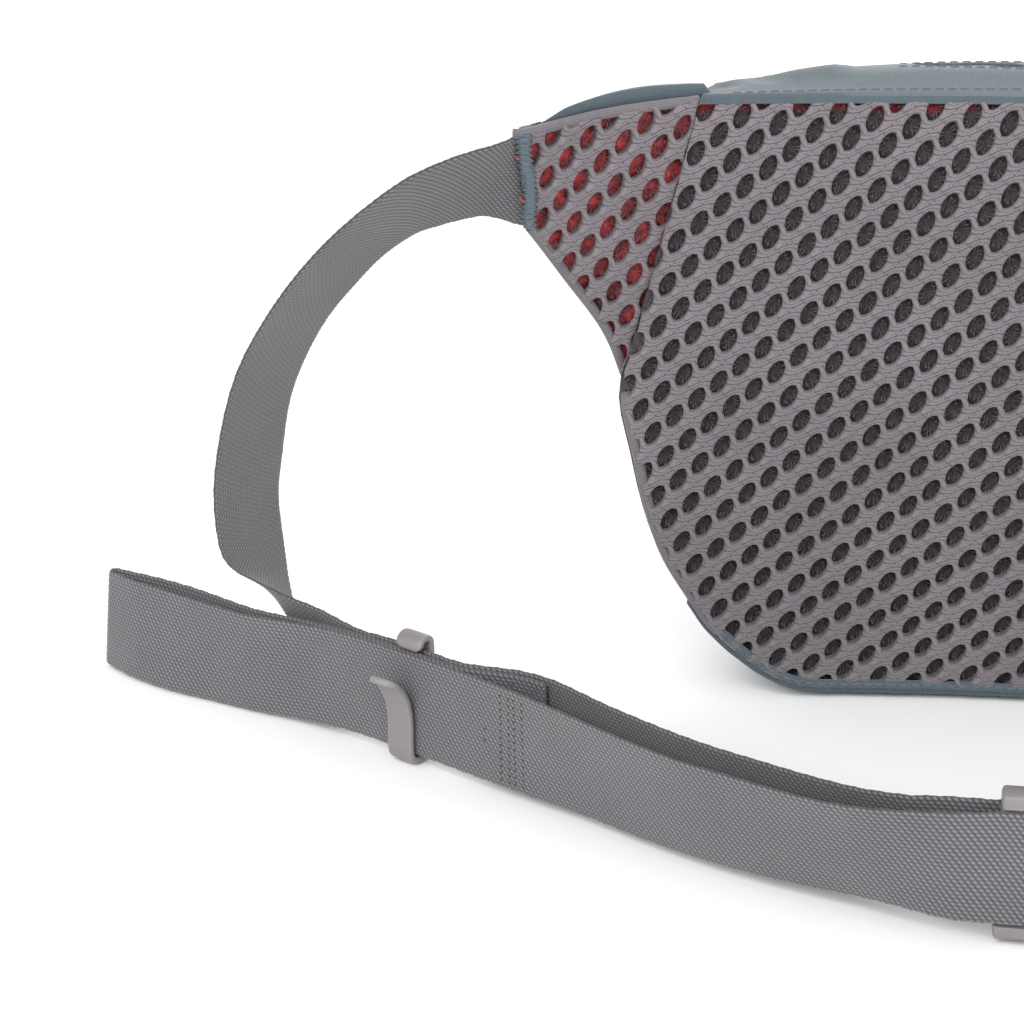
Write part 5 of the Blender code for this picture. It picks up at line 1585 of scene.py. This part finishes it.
def build_keeper():
    """The springy strip bent round the webbing, hooked over its top edge and flared at the front."""
    p, t, away, _ = front_at(-162.0)
    p = p - np.array([0, FORWARD, 0])
    wide, thick = 7.5, 1.7
    back = behind(MAIN_BEHIND, -162.0) + WEB_T / 2 + 0.4 + thick / 2
    front = -(WEB_T / 2 + 0.45 + thick / 2)
    bot, top = thick / 2 + 0.05, p[2] + WEB_W / 2 + 0.3
    mid = (front + back) / 2
    path = [(front - 7.4, 23.4), (front - 5.2, 22.3), (front - 2.9, 19.8), (front - 1.2, 16.7), (front - 0.35, 13.4),
            (front, 10.0), (front, 6.5), (front, 3.6), (front + 0.45, 1.75), (front + 1.7, bot + 0.05), (mid, bot),
            (back - 1.7, bot + 0.05), (back - 0.45, 1.75), (back, 3.6), (back, 10), (back, 18), (back, top - 0.4)]
    path += [(back - 2 + 2 * math.cos(q), top + 1.0 + 2 * math.sin(q)) for q in math.pi * 1.12 * np.arange(1, 8) / 7]
    rows = catmull(path, 6)
    org = np.array([p[0], p[1], 0.0])
    pos = np.array([org + away * a + np.array([0, 0, z]) for a, z in rows])
    d = np.gradient(pos, axis=0)
    d /= np.linalg.norm(d, axis=1)[:, None]
    rings = []
    n = len(pos)
    for i in range(n):
        nn = unit(np.cross(d[i], t))
        ends = min(i, n - 1 - i)
        shrink = 1.0 - 0.32 * (1 - min(1.0, ends / 7.0)) ** 2
        ring = []
        for q in circle(24):
            a, b = math.cos(q), math.sin(q)
            ring.append(pos[i] + t * (np.sign(a) * abs(a) ** 0.35 * wide / 2 * shrink)
                        + nn * (np.sign(b) * abs(b) ** 0.42 * thick / 2 * (0.72 if ends == 0 else 1)))
        rings.append(ring)
    ob = tube("keeper_spring", rings, FIN["keeper"], "strap_keeper", "keeper_plastic")
    ob.data.set_sharp_from_angle(angle=math.radians(60))
    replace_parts(ob, "strap_keeper")


def build_buckle():
    """Both halves of the side-release buckle and its latch arms."""
    for node, body, r in (("buckle_female", "cushion", 0.5), ("buckle_male", "cushion", 0.4),
                          ("latch_arm_top", "latch_arm_top", 0.35), ("latch_arm_bottom", "latch_arm_bottom", 0.35)):
        refined(node, FIN["buckle"], body, "buckle_plastic", r)


# ------------------------------------------------------------------ stage
CAMERA_AZIMUTH, CAMERA_HEIGHT = 9.0, 20.0          # degrees to the right of straight ahead, and above it
CAMERA_AIM, CAMERA_DISTANCE = (-0.1363, -0.0983, 0.065), 0.5415
WORLD_LIGHT, FLOOR_REACH = 0.85, 60.0


def build_stage():
    """Pale floor, soft lights and the camera."""
    scene = bpy.context.scene
    world = bpy.data.worlds.new("studio")
    world.use_nodes = True
    world.node_tree.nodes["Background"].inputs[0].default_value = (1.0, 1.0, 1.0, 1)
    world.node_tree.nodes["Background"].inputs[1].default_value = WORLD_LIGHT
    scene.world = world
    me = bpy.data.meshes.new("floor")
    corners = [(x * FLOOR_REACH, y * FLOOR_REACH, -0.0004) for x, y in ((-1, -1), (1, -1), (1, 1), (-1, 1))]
    me.from_pydata(corners, [], [(0, 1, 2, 3)])
    floor = bpy.data.objects.new("floor", me)
    scene.collection.objects.link(floor)
    f = Finish("floor_paper", (0.93, 0.93, 0.93), 0.9, specular=0.1)
    me.materials.append(f.mat)

    def lamp(name, at, to, size, power):
        data = bpy.data.lights.new(name, "AREA")
        data.shape, data.size, data.energy = "SQUARE", size, power
        ob = bpy.data.objects.new(name, data)
        ob.location = at
        ob.rotation_euler = (Vector(to) - Vector(at)).to_track_quat("-Z", "Y").to_euler()
        scene.collection.objects.link(ob)

    lamp("key", (-0.55, -1.25, 1.05), (-0.05, -0.08, 0.07), 0.9, 17)
    lamp("fill", (0.9, -1.0, 0.5), (0, -0.05, 0.07), 1.0, 6)
    lamp("back", (0.2, 1.3, 0.9), (0, 0, 0.07), 1.0, 10)

    az, el = math.radians(CAMERA_AZIMUTH), math.radians(CAMERA_HEIGHT)
    aim = Vector(CAMERA_AIM)
    back = Vector((math.sin(az) * math.cos(el), -math.cos(az) * math.cos(el), math.sin(el)))
    cam = bpy.data.cameras.new("camera")
    cam.lens, cam.sensor_width = 85, 36
    ob = bpy.data.objects.new("camera", cam)
    ob.location = aim + back * CAMERA_DISTANCE
    ob.rotation_euler = (aim - ob.location).to_track_quat("-Z", "Y").to_euler()
    scene.collection.objects.link(ob)
    scene.camera = ob
    cam.clip_start, cam.clip_end = 0.01, 50
    scene.view_settings.view_transform = "Standard"


# ------------------------------------------------------------------ operators
def operator(idname, label, text, work):
    """An Operator class that runs one build step."""
    def execute(self, context):
        work()
        return {"FINISHED"}
    return type(idname.upper().replace(".", "_OT_", 1), (bpy.types.Operator,),
                {"bl_idname": idname, "bl_label": label, "__doc__": text, "execute": execute})


STEPS = [
    ("cushion.finishes", "Finishes", "Make the cloth, thread and plastic materials", build_finishes),
    ("cushion.face", "Mesh face", "Knit face, backing pad and filaments", build_face),
    ("cushion.wings", "Wings", "Knit, liner and outer fabric of both wings", build_wings),
    ("cushion.rims", "Rims and gussets", "Rolled knit rims and side gussets", build_rims),
    ("cushion.shell", "Padded shell", "Rear and top panels with their seam", build_shell),
    ("cushion.binding", "Edge binding", "Tape folded over the lower edge", build_binding),
    ("cushion.zip", "Zip", "Coil, tapes, stops, slider and pull", build_zip),
    ("cushion.belt", "Belt", "Woven webbing and its stitching", build_belt),
    ("cushion.bartacks", "Bartacks", "Thread columns at the wing tips", build_bartacks),
    ("cushion.keeper", "Keeper", "Spring keeper round the webbing", build_keeper),
    ("cushion.buckle", "Buckle", "Side-release buckle", build_buckle),
    ("cushion.stage", "Stage", "Floor, lights and camera", build_stage),
]
OPERATORS = [operator(*step) for step in STEPS]


class CUSHION_PT_maker(bpy.types.Panel):
    """Lists the cushion's sizes, colours and pieces."""
    bl_idname = "CUSHION_PT_maker"
    bl_label = "Lumbar cushion"
    bl_space_type = "VIEW_3D"
    bl_region_type = "UI"
    bl_category = "Cushion"

    def draw(self, context):
        layout = self.layout
        for group in (context.scene.cushion_cloth, context.scene.cushion_belt, context.scene.cushion_colours):
            box = layout.box()
            for key in group.__annotations__:
                box.prop(group, key)
        for idname, label, _, _ in STEPS:
            layout.operator(idname, text=label)


CLASSES = [CushionCloth, CushionBelt, CushionColours, *OPERATORS, CUSHION_PT_maker]


def register():
    for cls in CLASSES:
        bpy.utils.register_class(cls)
    bpy.types.Scene.cushion_cloth = bpy.props.PointerProperty(type=CushionCloth)
    bpy.types.Scene.cushion_belt = bpy.props.PointerProperty(type=CushionBelt)
    bpy.types.Scene.cushion_colours = bpy.props.PointerProperty(type=CushionColours)


def unregister():
    for key in ("cushion_cloth", "cushion_belt", "cushion_colours"):
        delattr(bpy.types.Scene, key)
    for cls in reversed(CLASSES):
        bpy.utils.unregister_class(cls)


def main():
    register()
    for idname, _, _, _ in STEPS:
        group, name = idname.split(".")
        getattr(getattr(bpy.ops, group), name)()


if __name__ == "__main__":
    main()
